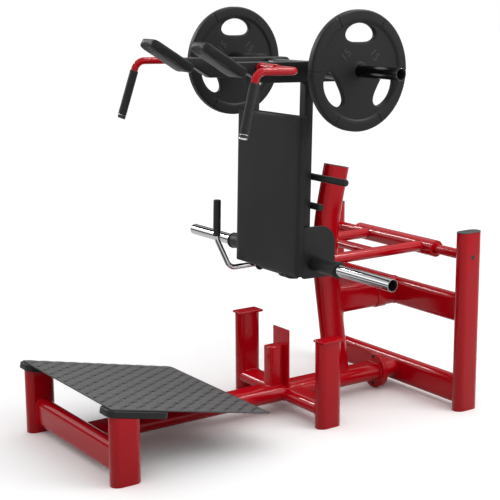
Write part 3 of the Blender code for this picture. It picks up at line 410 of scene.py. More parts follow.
def shrunk(outline: Outline, inset: float) -> Outline:
    """Moves an outline inwards, point by point.

    Args:
        outline: The outline.
        inset: How far it moves.

    Returns:
        The moved outline.
    """
    if inset <= 0:
        return outline
    area = sum(a[0] * b[1] - b[0] * a[1] for a, b in zip(outline, outline[1:] + outline[:1]))
    turn = 1 if area > 0 else -1
    count = len(outline)
    moved = []
    for i, point in enumerate(outline):
        ahead = Vector(outline[(i + 1) % count]) - Vector(point)
        behind = Vector(point) - Vector(outline[i - 1])
        tangent = ahead.normalized() + behind.normalized()
        tangent.normalize()
        inward = Vector((-tangent.y, tangent.x)) * turn
        share = max(abs(ahead.normalized().dot(tangent)), 0.5)
        moved.append(tuple(Vector(point) + inward * inset / share))
    return moved


def chamfered(radius: float, start: float, end: float, rim: float, bore: float = 0.0) -> Outline:
    """The profile of a disc or a sleeve from start to end, with its rims cut at 45 degrees."""
    return [(bore, start), (radius - rim, start), (radius, start + rim), (radius, end - rim),
            (radius - rim, end), (bore, end)]


def soft_rod(radius: float, length: float, rim: float, bore: float = 0.0, flange: Pair = (0, 0)) -> Outline:
    """The profile of a rod or a sleeve with rounded rims.

    Args:
        radius: Its radius.
        length: Its length.
        rim: The radius of its rims.
        bore: The radius of its bore.
        flange: The radius and thickness of the flange at its far end.

    Returns:
        Pairs of a radius and a distance along its axis.
    """
    lip, thick = flange
    profile = [(bore, 0), (radius - rim, 0), (radius - rim * 0.3, rim * 0.3), (radius, rim)]
    if thick > 0:
        profile += [(radius, length - thick), (lip - rim, length - thick), (lip, length - thick + rim)]
        radius = lip
    return profile + [(radius, length - rim), (radius - rim * 0.3, length - rim * 0.3),
                      (radius - rim, length), (bore, length)]


def landing(points: Ring, direction: Vector, node: str) -> Ring:
    """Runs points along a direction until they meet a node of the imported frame.

    Args:
        points: The points, in the layout's measures.
        direction: The way they run.
        node: The node that they land on.

    Returns:
        The points where they land. A point that misses the node runs as far as the last that did not.
    """
    target = bpy.data.objects[node].data
    tree = BVHTree.FromPolygons([v.co for v in target.vertices], [p.vertices for p in target.polygons])
    move = Stand.FLOOR.matrix
    middle = sum(points, Vector()) / len(points)
    reach = 0.0
    landed = []
    for point in points:
        hit = tree.ray_cast(move @ (point + (middle - point) * LANDING_INSET), direction)
        if hit[0] is not None:
            reach = hit[3]
        landed.append(point + direction * reach)
    return landed


# Shapes

class Shape:
    """The faces of one piece, gathered in the layout's measures."""

    def __init__(self, name: str, stand: Stand = Stand.FLOOR) -> None:
        """Starts an empty piece.

        Args:
            name: Its name.
            stand: What it is measured from.
        """
        self.name = name
        self.stand = stand
        self.mesh = bmesh.new()

    def skin(self, rings: Sequence[Ring], loop: bool = False) -> "Shape":
        """Joins rings of points in order.

        Args:
            rings: The rings, with the same number of points each.
            loop: Whether the last ring joins the first. If not, the two ends are closed.

        Returns:
            The same shape.
        """
        rows = [[self.mesh.verts.new(point) for point in points] for points in rings]
        pairs = list(zip(rows, rows[1:])) + ([(rows[-1], rows[0])] if loop else [])
        for first, second in pairs:
            for i in range(len(first)):
                j = (i + 1) % len(first)
                self.mesh.faces.new((first[i], first[j], second[j], second[i]))
        if not loop:
            self.mesh.faces.new(rows[0])
            self.mesh.faces.new(rows[-1])
        return self

    def slab(self, outline: Outline, origin: Vector, depth: Vector, across: Vector = X_AXIS,
             up: Vector = Y_AXIS, *, edge: float, steps: int = 3) -> "Shape":
        """Adds a flat piece with rounded rims.

        Args:
            outline: Its outline.
            origin: Where the outline's origin stands.
            depth: The way through the piece, as long as it is thick.
            across: The outline's first direction.
            up: The outline's second direction.
            edge: The radius of its rims.
            steps: The number of steps round a rim.

        Returns:
            The same shape.
        """
        way = depth.normalized()
        near, far = [], []
        for k in range(steps + 1):
            turn = math.pi / 2 * k / steps
            rim = shrunk(outline, edge * (1 - math.sin(turn)))
            rise = way * edge * (1 - math.cos(turn))
            near.append(ring(rim, origin + rise, across, up))
            far.append(ring(rim, origin + depth - rise, across, up))
        return self.skin(near + far[::-1])

    def bar(self, outline: Outline, path: Ring, side: Vector, loop: bool = False,
            ripple: float = 0.0) -> "Shape":
        """Adds a bar of one section along a path.

        Args:
            outline: Its section.
            path: Its centreline.
            side: The section's first direction at the start.
            loop: Whether the path closes on itself.
            ripple: How far the section swells and shrinks from point to point.

        Returns:
            The same shape.
        """
        rings = []
        count = len(path)
        for i, point in enumerate(path):
            ahead = path[(i + 1) % count] if loop else path[min(i + 1, count - 1)]
            behind = path[i - 1] if loop else path[max(i - 1, 0)]
            tangent = (ahead - point).normalized() + (point - behind).normalized()
            tangent.normalize()
            side = (side - tangent * side.dot(tangent)).normalized()
            grown = 1 + ripple * math.sin(i * BEAD_WAVE)
            rings.append(ring(outline, point, side * grown, tangent.cross(side) * grown))
        return self.skin(rings, loop)

    def turned(self, profile: Outline, origin: Vector, axis: Vector, steps: int = 48,
               loop: bool = False) -> "Shape":
        """Adds a piece turned about an axis.

        Args:
            profile: Pairs of a radius and a distance along the axis.
            origin: Where the distances start.
            axis: The axis.
            steps: The number of steps round it.
            loop: Whether the profile closes on itself, round a bore.

        Returns:
            The same shape.
        """
        axis = axis.normalized()
        helper = Z_AXIS if abs(axis.z) < 0.9 else X_AXIS
        across = axis.cross(helper).normalized()
        up = axis.cross(across)
        rings = [ring(circle(max(r, LEAST_RADIUS), steps), origin + axis * along, across, up)
                 for r, along in profile]
        return self.skin(rings, loop)

    def bead(self, loop: Ring, radius: float = 0.0032) -> "Shape":
        """Adds a rippled weld bead.

        Args:
            loop: The closed line that it follows.
            radius: Its radius.

        Returns:
            The same shape.
        """
        dense = []
        for i, point in enumerate(loop):
            step = loop[(i + 1) % len(loop)] - point
            splits = max(1, round(step.length / BEAD_STEP))
            dense += [point + step * k / splits for k in range(splits)]
        side = (dense[1] - dense[0]).orthogonal()
        return self.bar(circle(radius, 8), dense, side, loop=True, ripple=BEAD_RIPPLE)

    def bolt(self, origin: Vector, axis: Vector, radius: float, height: float) -> "Shape":
        """Adds a button-head bolt with a hexagon socket and a washer.

        Args:
            origin: Where it stands on the surface.
            axis: The way it points.
            radius: Its head's radius.
            height: Its head's height.

        Returns:
            The same shape.
        """
        rim, chamfer, washer = radius * 1.35, radius * 1.25, 0.0016
        self.turned([(0, 0), (rim, 0), (rim, 0.0012), (chamfer, washer), (0, washer)], origin, axis, steps=32)
        dome = [(0, 0.0014), (radius, 0.0014), (radius, height * 0.4)]
        for k in range(1, 5):
            turn = math.pi / 2 * k / 5
            dome.append((radius * (1 - 0.42 * k / 5), height * (0.4 + 0.6 * math.sin(turn))))
        self.turned(dome + [(radius * 0.52, height), (0, height)], origin, axis, steps=32)
        key, low, high = radius * 0.42, height * 0.98, height * 1.01
        return self.turned([(0, low), (key, low), (key, high), (0, high)], origin, axis, steps=6)

    def build(self, finish: Finish, body: str, *replaces: str, sharp: float = 38) -> None:
        """Turns the gathered faces into a piece that rides on a body.

        Args:
            finish: Its finish.
            body: The body that it rides on.
            replaces: The nodes that it stands for.
            sharp: Edges that turn by more degrees than this stay crisp.
        """
        bmesh.ops.recalc_face_normals(self.mesh, faces=self.mesh.faces)
        self.mesh.transform(self.stand.matrix)
        data = bpy.data.meshes.new(self.name)
        self.mesh.to_mesh(data)
        self.mesh.free()
        data.shade_smooth()
        data.set_sharp_from_angle(angle=math.radians(sharp))
        data.materials.append(finish.material())
        piece = linked(self.name, data)
        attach(piece, body)
        if replaces:
            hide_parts(*replaces)
        LOG.info("%s: %d faces on %s", self.name, len(data.polygons), body)


def build_tube(name: str, body: str, node: str, section: Pair, middle: Vector, along: Vector,
               lands_on: Sequence[Optional[str]], ends: Pair = (0, 0)) -> None:
    """Builds a straight, level oval tube between two nodes, with a weld bead where it meets each.

    Args:
        name: Its name.
        body: The body that it rides on.
        node: The node that it stands for.
        section: Its size across and upwards.
        middle: A point of its centreline.
        along: The way it runs.
        lands_on: The node at each end, or None where the end is free.
        ends: How far from the middle each end starts.
    """
    shape = Shape(name)
    across = Y_AXIS if along.x else X_AXIS
    rows = []
    for sign, landed, end in zip((-1, 1), lands_on, ends):
        rim = ring(oval(*section), middle + along * sign * end, across, Z_AXIS)
        if landed:
            rim = landing(rim, along * sign, landed)
            shape.bead(rim)
        rows.append(rim)
    shape.skin(rows).build(RED_PAINT, body, node, sharp=TUBE_SHARP)


# The frame that stands on the floor

@dataclass
class FloorFrame:
    """Posts, crossbars, base beam, column, link, catch and shaft."""

    body: str = "frame"
    front_post: Pair = (0.347, -0.780)
    mid_post: Pair = (0.285, 0.180)
    rear_post: Pair = (0.443, 0.778)
    mid_top: float = 0.3545
    rear_top: float = 0.752
    foot_share: float = 0.975
    foot_height: float = 0.0015
    front_bar_z: float = 0.082
    beam_z: float = 0.080
    mid_bar_x: float = 0.16
    mid_bar_z: float = 0.0745
    beam_start: float = 0.3
    link_start: float = 0.6
    sunk: float = 0.002
    rear_bar_z: Pair = (0.076, 0.4265)
    link_z: float = 0.4285
    collar_y: Pair = (0.653, 0.0535)
    collar_wall: float = 0.008
    flange_radius: float = 0.0775
    flange_y: float = 0.653
    flange_thickness: float = 0.012
    flange_bolt: Triple = (0.0605, 0.0055, 0.005)
    rest_cap: Triple = (0.070, 0.117, 0.008)
    rest_cap_at: Pair = (0.2885, 0.1865)
    cap_thickness: float = 0.004
    cap_edge: float = 0.0016
    shaft_radius: float = 0.0205
    shaft_bolt: Triple = (0.0022, 0.011, 0.0036)
    column_foot_y: float = 0.4545
    column_corner: Pair = (0.371, 0.691)
    column_top: Pair = (0.4410, 1.0063)
    column_bend: float = 0.90
    catch_size: Pair = (0.053, 0.067)
    catch_y: float = 0.1195
    catch_top: float = 0.283
    catch_plate: Triple = (0.107, 0.008, 0.351)
    above_beam: float = 0.15

    def post(self, name: str, x: float, y: float, top: Callable[[float], float], section: Pair) -> None:
        """Builds one post.

        Args:
            name: The node that it stands for.
            x: Its middle's X.
            y: Its middle's Y.
            top: Gives its height at a Y.
            section: Its size across the machine and along it.
        """
        middle = at(x, y, 0)
        foot = ring(oval(*section), middle)
        lip = [middle + (p - middle) * self.foot_share for p in foot]
        low = [p + Z_AXIS * self.foot_height for p in foot]
        head = [at(p.x, p.y, top(p.y)) for p in foot]
        Shape(name + "_tube").skin([lip, low, head]).build(RED_PAINT, self.body, name, sharp=TUBE_SHARP)

    def posts(self) -> None:
        """Builds the six posts, with their caps and the shaft's bolts."""
        platform = Platform()
        sunk, head, rise = self.shaft_bolt
        width, length, thickness = self.rest_cap
        for side, sign in SIDES:
            x, y = self.front_post
            self.post("front_post_" + side, sign * x, y, platform.under_bracket, TUBE)
            x, y = self.mid_post
            self.post("mid_post_" + side, sign * x, y, lambda _: self.mid_top - SEAM, POST)
            x, y = self.rear_post
            self.post("rear_post_" + side, sign * x, y, lambda _: self.rear_top, POST)
            cap = Shape("rear_post_insert_" + side)
            cap.slab(oval(*POST), at(sign * x, y, self.rear_top + SEAM), Z_AXIS * self.cap_thickness,
                     edge=self.cap_edge)
            cap.build(CAP_PLASTIC, self.body, "rear_post_cap_" + side)
            face = at(sign * (x + POST[0] / 2 - sunk), y, PIVOT.z)
            Shape("shaft_bolt_" + side).bolt(face, X_AXIS * sign, head, rise).build(CAP_BLACK, self.body)
            plate = Shape("rest_plate_" + side)
            plate.slab(box_outline(width, length, corner=0.006),
                       at(sign * self.rest_cap_at[0], self.rest_cap_at[1], self.mid_top),
                       Z_AXIS * thickness, edge=0.0015)
            plate.build(RED_PAINT, self.body, "rest_cap_" + side)

    def crossbars(self) -> None:
        """Builds the bars between the posts."""
        for name, y, z, post in (("front_crossbar", self.front_post[1], self.front_bar_z, "front_post"),
                                 ("rear_lower_crossbar", PIVOT.y, self.rear_bar_z[0], "rear_post"),
                                 ("rear_upper_crossbar", PIVOT.y, self.rear_bar_z[1], "rear_post")):
            build_tube(name + "_tube", self.body, name, TUBE, at(0, y, z), X_AXIS,
                       (post + "_left", post + "_right"))
        for side, sign in SIDES:
            name = "mid_crossbar_" + side
            middle = at(sign * self.mid_bar_x, self.mid_post[1], self.mid_bar_z)
            build_tube(name + "_tube", self.body, name, MID_BAR, middle, X_AXIS * sign,
                       ("base_beam", "mid_post_" + side))

    def beam(self) -> None:
        """Builds the base beam, its bolted flange and the stub behind it."""
        joint = self.flange_y + self.flange_thickness
        rear = joint + SEAM + self.flange_thickness
        centre = at(0, 0, self.beam_z)
        build_tube("base_beam_tube", self.body, "base_beam", BEAM, centre, Y_AXIS,
                   ("front_crossbar", None), (self.beam_start, self.flange_y + self.sunk))
        build_tube("base_stub_tube", self.body, "base_flange_rear", BEAM,
                   at(0, joint + self.sunk, self.beam_z), Y_AXIS, (None, "rear_lower_crossbar"))
        flange = Shape("base_flange_pair")
        for start in (self.flange_y, joint + SEAM):
            profile = chamfered(self.flange_radius, start, start + self.flange_thickness, rim=0.0015)
            flange.turned(profile, centre, Y_AXIS, steps=72)
        for y in (self.flange_y, rear):
            flange.bead(ring(oval(*BEAM), centre + Y_AXIS * y, X_AXIS, Z_AXIS), radius=0.003)
        flange.build(RED_PAINT, self.body)
        bolts = Shape("base_flange_bolts")
        away, head, rise = self.flange_bolt
        for up in (-1, 1):
            spot = centre + Z_AXIS * up * away
            bolts.bolt(spot + Y_AXIS * rear, Y_AXIS, head, rise)
            bolts.bolt(spot + Y_AXIS * self.flange_y, -Y_AXIS, head, rise)
        bolts.build(BLACK_STEEL, self.body)

    def column(self) -> None:
        """Builds the bent column, its cap, and the link behind it."""
        corner, top = at(0, *self.column_corner), at(0, *self.column_top)
        end = top - (top - corner).normalized() * (self.cap_thickness + SEAM)
        path = bend_path([at(0, self.column_foot_y, self.beam_z), corner, end], [self.column_bend],
                         math.radians(2))
        section = oval(*TUBE)
        shape = Shape("column_tube").bar(section, path, X_AXIS)
        lean = (path[1] - path[0]).normalized()
        start = ring(section, path[0] + lean * self.above_beam, X_AXIS, lean.cross(X_AXIS))
        shape.bead(landing(start, -lean, "base_beam"))
        shape.build(RED_PAINT, self.body, "column", sharp=TUBE_SHARP)
        axis = (path[-1] - path[-2]).normalized()
        cap = Shape("column_insert")
        cap.slab(section, path[-1] + axis * SEAM, axis * self.cap_thickness, X_AXIS, axis.cross(X_AXIS),
                 edge=self.cap_edge)
        cap.build(CAP_PLASTIC, self.body, "column_cap")
        build_tube("upper_link_tube", self.body, "upper_link", TUBE, at(0, self.link_start, self.link_z),
                   Y_AXIS, ("column", "rear_upper_crossbar"))
        front, length = self.collar_y
        grown = oval(*(size + self.collar_wall for size in TUBE))
        collar = Shape("link_collar")
        collar.slab(grown, at(0, front, self.link_z), Y_AXIS * length, X_AXIS, Z_AXIS, edge=0.002)
        collar.build(RED_PAINT, self.body)

    def catch(self) -> None:
        """Builds the catch post and the plate behind it, and welds the post to the base."""
        width, depth = self.catch_size
        outline = box_outline(width, depth, corner=0.005)
        base = at(0, self.catch_y, self.beam_z)
        post = Shape("catch_post_tube")
        post.slab(outline, base, Z_AXIS * (self.catch_top - self.beam_z), edge=0.002)
        post.bead(landing(ring(outline, base + Z_AXIS * self.above_beam), -Z_AXIS, "base_beam"))
        post.build(RED_PAINT, self.body, "catch_post")
        wide, thick, top = self.catch_plate
        rear = self.catch_y + depth / 2 + SEAM + thick / 2
        plate = Shape("catch_plate_sheet")
        plate.slab(box_outline(wide, thick, corner=0.0015), at(0, rear, self.beam_z),
                   Z_AXIS * (top - self.beam_z), edge=0.001)
        plate.build(RED_PAINT, self.body, "catch_plate")

    def shaft(self) -> None:
        """Builds the pivot shaft, welded between the rear posts."""
        shape = Shape("pivot_shaft_bar")
        rows = []
        for side, sign in SIDES:
            rim = ring(circle(self.shaft_radius, 48), PIVOT, Y_AXIS, Z_AXIS)
            rows.append(landing(rim, X_AXIS * sign, "rear_post_" + side))
            shape.bead(rows[-1], radius=0.0022)
        shape.skin(rows).build(RED_PAINT, self.body, "pivot_shaft", sharp=TUBE_SHARP)

    def build(self) -> None:
        """Builds every piece of the frame but the platform."""
        self.posts()
        self.crossbars()
        self.beam()
        self.column()
        self.catch()
        self.shaft()


@dataclass
class Platform:
    """The sloping tread plate with its raised ovals, its corner brackets and its support."""

    body: str = "frame"
    front_y: float = -0.838
    front_z: float = 0.297
    slope: float = math.radians(12.25)
    length: float = 0.6976
    width: float = 0.735
    sheet: float = 0.006
    base_sheet: float = 0.0046
    pitch: Pair = (0.0585, 0.063)
    first_row: float = 0.02
    ridge: Pair = (0.104, 0.037)
    # The small ovals between the ridges are near-black: painted shade for the dark shaded sides of the
    # tread's pattern.
    shade_spot: Pair = (0.024, 0.014)
    shade_spot_rise: float = 0.0007
    ridge_turn: float = math.radians(133)
    bare_rim: float = 0.008
    margin: float = 0.0015
    bracket_x: Pair = (0.290, 0.378)
    overhang: float = 0.0125
    bracket_length: float = 0.252
    bracket_thickness: float = 0.025
    bracket_corner: float = 0.025
    support: Triple = (-0.240, 0.100, 0.012)
    support_start: float = 0.2

    @property
    def down(self) -> Vector:
        """The way down the slope, towards the rear."""
        return at(0, math.cos(self.slope), -math.sin(self.slope))

    @property
    def normal(self) -> Vector:
        """The way out of the tread."""
        return at(0, math.sin(self.slope), math.cos(self.slope))

    @property
    def front(self) -> Vector:
        """The middle of the tread's front edge, on its top face."""
        return at(0, self.front_y, self.front_z)

    def below(self, y: float, depth: float) -> float:
        """The height at y of a plane this far under the tread's top face."""
        return self.front_z - (y - self.front_y) * math.tan(self.slope) - depth / math.cos(self.slope)

    def under_bracket(self, y: float) -> float:
        """The height at y of the brackets' lower face."""
        return self.below(y, self.sheet + self.bracket_thickness + 2 * SEAM)

    def tread(self) -> None:
        """Builds the sheet, with slanting ridges raised from it in rows and small near-black ovals between
        them as painted shade.
        """
        outline = [(u, v + self.length / 2) for u, v in box_outline(self.width, self.length, corner=0.006)]
        low = self.front - self.normal * self.sheet
        plate = Shape("tread_plate")
        plate.slab(outline, low, self.normal * self.base_sheet, X_AXIS, self.down, edge=0.0012, steps=2)
        plate.build(TREAD_STEEL, self.body, "platform_tread", sharp=60)
        ridges, shade_spots = Shape("tread_ridges"), Shape("tread_painted_shade_spots")
        face = low + self.normal * self.base_sheet
        across, along = self.pitch
        for i in range(-7, 8):
            for j in range(12):
                u, v = i * across, j * along + self.first_row
                self.raise_oval(ridges, face, u, v, self.ridge, self.sheet - self.base_sheet)
                self.raise_oval(shade_spots, face, u + across / 2, v, self.shade_spot, self.shade_spot_rise)
        # The ridges take the lighter finish: partly wear, partly painted highlight.
        ridges.build(TREAD_WORN_HIGHLIGHT, self.body, sharp=60)
        # Near-black paint on the small ovals: painted shade.
        shade_spots.build(BLACK_PAINT, self.body, sharp=60)

    def raise_oval(self, shape: Shape, face: Vector, u: float, v: float, size: Pair, rise: float) -> None:
        """Adds one soft oval, which ends at the plate's rim.

        Args:
            shape: The piece that it belongs to.
            face: The sheet's face at the middle of its front edge.
            u: Where its middle lies across the tread.
            v: Where its middle lies down the tread.
            size: Its length and width.
            rise: How far it stands above the sheet.
        """
        if abs(u) > self.width / 2 - self.bare_rim or not self.bare_rim < v < self.length - self.bare_rim:
            return
        long, short = size
        cosine, sine = math.cos(self.ridge_turn), math.sin(self.ridge_turn)
        rows = []
        for share, level in ((1.0, 0.0), (0.9, 0.3), (0.78, 0.6), (0.6, 0.85), (0.3, 1.0)):
            height = rise * level if level else -SEAM
            points = []
            for k in range(20):
                part = math.tau * k / 20
                along, side = math.cos(part) * long / 2 * share, math.sin(part) * short / 2 * share
                x = u + along * cosine - side * sine
                y = v + along * sine + side * cosine
                x = min(max(x, self.margin - self.width / 2), self.width / 2 - self.margin)
                y = min(max(y, self.margin), self.length - self.margin)
                points.append(face + X_AXIS * x + self.down * y + self.normal * height)
            rows.append(points)
        shape.skin(rows)

    def brackets(self) -> None:
        """Builds the corner brackets under the tread and the support beneath its rear."""
        near = -self.overhang
        far = self.bracket_length - self.overhang
        low = self.front - self.normal * (self.sheet + SEAM + self.bracket_thickness)
        inner, outer = self.bracket_x
        outline = rounded([(inner, near), (outer, near), (outer, far), (inner, far)],
                          [self.bracket_corner] * 4)
        for side, sign in SIDES:
            plate = Shape("platform_corner_" + side)
            plate.slab([(sign * u, v) for u, v in outline], low, self.normal * self.bracket_thickness,
                       X_AXIS, self.down, edge=0.004)
            plate.build(BLACK_PAINT, self.body, "platform_bracket_" + side)
        y, width, thickness = self.support
        foot = ring(box_outline(width, thickness, corner=0.002), at(0, y, self.support_start))
        feet = landing(foot, -Z_AXIS, "base_beam")
        head = [at(p.x, p.y, self.below(p.y, self.sheet + SEAM)) for p in foot]
        support = Shape("platform_stay").skin([feet, head]).bead(feet, radius=0.003)
        support.build(RED_PAINT, self.body, "platform_support")

    def build(self) -> None:
        """Builds the platform."""
        self.tread()
        self.brackets()


# The carriage

@dataclass
class Lever:
    """The sleeve on the pivot, the two arms and the tube across them."""

    body: str = "carriage"
    sleeve_radius: float = 0.035
    sleeve_bore: float = 0.0295
    sleeve_length: float = 0.512
    arm_x: float = 0.1755
    arm_y: float = 0.45
    arm_size: Pair = (0.052, 0.043)
    arm_z: float = 0.656
    cross_at: Pair = (0.520, 0.653)
    cross_size: Pair = (0.050, 0.031)

    def build(self) -> None:
        """Builds the sleeve, then the arms and the cross tube with their welds."""
        half = self.sleeve_length / 2
        sleeve = Shape("pivot_sleeve_tube")
        sleeve.turned(chamfered(self.sleeve_radius, -half, half, rim=0.0012, bore=self.sleeve_bore), PIVOT,
                      X_AXIS, steps=72, loop=True)
        sleeve.build(RED_PAINT, self.body, "pivot_sleeve")
        for side, _ in SIDES:
            bpy.data.objects["pivot_bush_" + side].material_slots[0].material = RED_PAINT.material()
        for side, sign in SIDES:
            name = "lever_arm_" + side
            middle = at(sign * self.arm_x, self.arm_y, self.arm_z)
            build_tube(name + "_tube", self.body, name, self.arm_size, middle, Y_AXIS,
                       ("lower_horn_bar", "pivot_sleeve"))
        build_tube("arm_cross_tube_oval", self.body, "arm_cross_tube", self.cross_size, at(0, *self.cross_at),
                   X_AXIS, ("lever_arm_left", "lever_arm_right"))


@dataclass
class HornBar:
    """A hollow bar across the carriage, with a stop collar at each side."""

    name: str
    y: float
    z: float
    radius: float
    wall: float
    length: float
    collar_radius: float
    collar_length: float
    collar_start: float
    finish: Finish
    collar_finish: Finish
    collar_node: str
    flange: Pair = (0.0, 0.0)
    body: str = "carriage"
    rim: float = 0.0008
    collar_rim: float = 0.0025
    mouth_wall: float = 0.0014
    mouth_depth: float = 0.004
    # How deep the black cups reach that are painted as shade inside the ends.
    shade_liner_depth: float = 0.060

    def build(self) -> None:
        """Builds the bar with its rounded rims, black cups inside its ends as painted shade, and its collars.
        """
        centre = at(0, self.y, self.z)
        half = self.length / 2
        bore, mouth, r, rim = self.radius - self.wall, self.radius - self.mouth_wall, self.radius, self.rim
        profile = [(bore, self.mouth_depth - half), (mouth, -half), (r - rim, -half), (r, rim - half),
                   (r, half - rim), (r - rim, half), (mouth, half), (bore, half - self.mouth_depth)]
        shape = Shape(self.name + "_tube", Stand.CARRIAGE)
        shape.turned(profile, centre, X_AXIS, steps=64, loop=True)
        shape.build(self.finish, self.body, self.name)
        # Black cups line the bore at each end: painted shade for the dark inside of the hollow bar.
        depth, outer, inner = self.shade_liner_depth, bore - 0.0002, bore - 0.0008
        cup = [(mouth - 0.0001, -0.0002), (outer, -0.0046), (outer, -depth), (0, -depth), (0, -depth + 0.001),
               (inner, -depth + 0.001), (inner, -0.0046), (mouth - 0.0012, -0.0006)]
        for side, sign in SIDES:
            shade_liner = Shape(f"{self.name}_inside_{side}", Stand.CARRIAGE)
            shade_liner.turned(cup, centre + X_AXIS * sign * half, X_AXIS * sign, loop=True)
            shade_liner.build(CAP_BLACK, self.body)
        profile = soft_rod(self.collar_radius, self.collar_length, self.collar_rim, self.radius + SEAM,
                           self.flange)
        for side, sign in SIDES:
            shape = Shape(f"{self.collar_node}_{side}_sleeve", Stand.CARRIAGE)
            shape.turned(profile, centre + X_AXIS * sign * self.collar_start, X_AXIS * sign, 64, loop=True)
            shape.build(self.collar_finish, self.body, f"{self.collar_node}_{side}")


@dataclass
class Uprights:
    """Bracket plates, rails, pegs and top arms."""

    body: str = "carriage"
    plate_x: Pair = (0.2018, 0.010)
    plate_y: Pair = (0.110, 0.269)
    plate_z: Pair = (0.585, 0.792)
    plate_corner: float = 0.075
    small_corner: float = 0.010
    plate_edge: float = 0.0012
    ear: tuple[Pair, float, Pair, float] = ((0.197, 0.560), 0.0205, (0.197, 0.6055), 0.0205)
    rail_x: float = 0.1815
    rail_y: float = 0.130
    rail_size: float = 0.040
    rail_z: Pair = (0.690, 1.3577)
    peg_radius: float = 0.0135
    peg_y: float = 0.1638
    pegs: tuple[tuple[str, float, float], ...] = (("peg_upper", 0.988, 0.400), ("peg_lower", 0.873, 0.250))
    arm_z: Pair = (1.358, 1.438)
    arm_rear: float = 0.300
    arm_corner: float = 0.022
    front_corner: float = 0.002
    arm_inner_x: float = 0.1615
    holder: Triple = (-0.100, 1.4155, 0.019)
    holder_length: float = 0.0985
    holder_rim: float = 0.0015

    def plates(self) -> None:
        """Builds the bracket plates. The left one reaches down to the release shaft."""
        (front, rear), (low, high), (start, thickness) = self.plate_y, self.plate_z, self.plate_x
        outline = rounded([(front, low), (rear, low), (rear, high), (front, high)],
                          [self.small_corner, self.small_corner, self.plate_corner, self.small_corner], 12)
        for side, sign in SIDES:
            shape = Shape("bracket_sheet_" + side, Stand.CARRIAGE)
            for form in (outline, lug_outline(*self.ear)) if side == "left" else (outline,):
                shape.slab(form, X_AXIS * sign * start, X_AXIS * sign * thickness, Y_AXIS, Z_AXIS,
                           edge=self.plate_edge)
            shape.build(BLACK_PAINT, self.body, "bracket_plate_" + side)

    def rails(self) -> None:
        """Builds the rails and the pegs behind them."""
        low, high = self.rail_z
        for side, sign in SIDES:
            rail = Shape("rail_tube_" + side, Stand.CARRIAGE)
            rail.slab(box_outline(self.rail_size, self.rail_size, corner=0.005),
                      at(sign * self.rail_x, self.rail_y, low), Z_AXIS * (high - low), edge=0.0008, steps=2)
            rail.build(BLACK_PAINT, self.body, "rail_" + side)
        start = -self.rail_x - self.rail_size / 2
        for name, z, end in self.pegs:
            peg = Shape(name + "_bar", Stand.CARRIAGE)
            profile = soft_rod(self.peg_radius, end - start, rim=0.003)
            peg.turned(profile, at(start, self.peg_y, z), X_AXIS, steps=40)
            peg.build(BLACK_PAINT, self.body, name)

    def top_arms(self) -> None:
        """Builds the top arms and the sockets for the handles."""
        low, high = self.arm_z
        shoulder = ShoulderPad("left")
        y, z, radius = self.holder
        rim, length = self.holder_rim, self.holder_length
        outline = rounded([(shoulder.front_of(low), low), (self.arm_rear, low), (self.arm_rear, high),
                           (shoulder.front_of(high), high)],
                          [self.front_corner, self.arm_corner, self.arm_corner, self.front_corner], 10)
        profile = [(0, -0.001), (radius, -0.001), (radius, length - rim), (radius - rim, length), (0, length)]
        for side, sign in SIDES:
            arm = Shape("top_arm_box_" + side, Stand.CARRIAGE)
            arm.slab(outline, X_AXIS * sign * self.arm_inner_x, X_AXIS * sign * self.rail_size, Y_AXIS,
                     Z_AXIS, edge=0.004, steps=4)
            arm.build(BLACK_PAINT, self.body, "top_arm_" + side)
            root = at(sign * (self.arm_inner_x + self.rail_size), y, z)
            holder = Shape("handle_socket_" + side, Stand.CARRIAGE)
            holder.turned(profile, root, X_AXIS * sign, steps=40)
            holder.bead(ring(circle(radius), root, Y_AXIS, Z_AXIS), radius=0.0028)
            holder.build(RED_PAINT, self.body)

    def build(self) -> None:
        """Builds the uprights."""
        self.plates()
        self.rails()
        self.top_arms()


# Pads

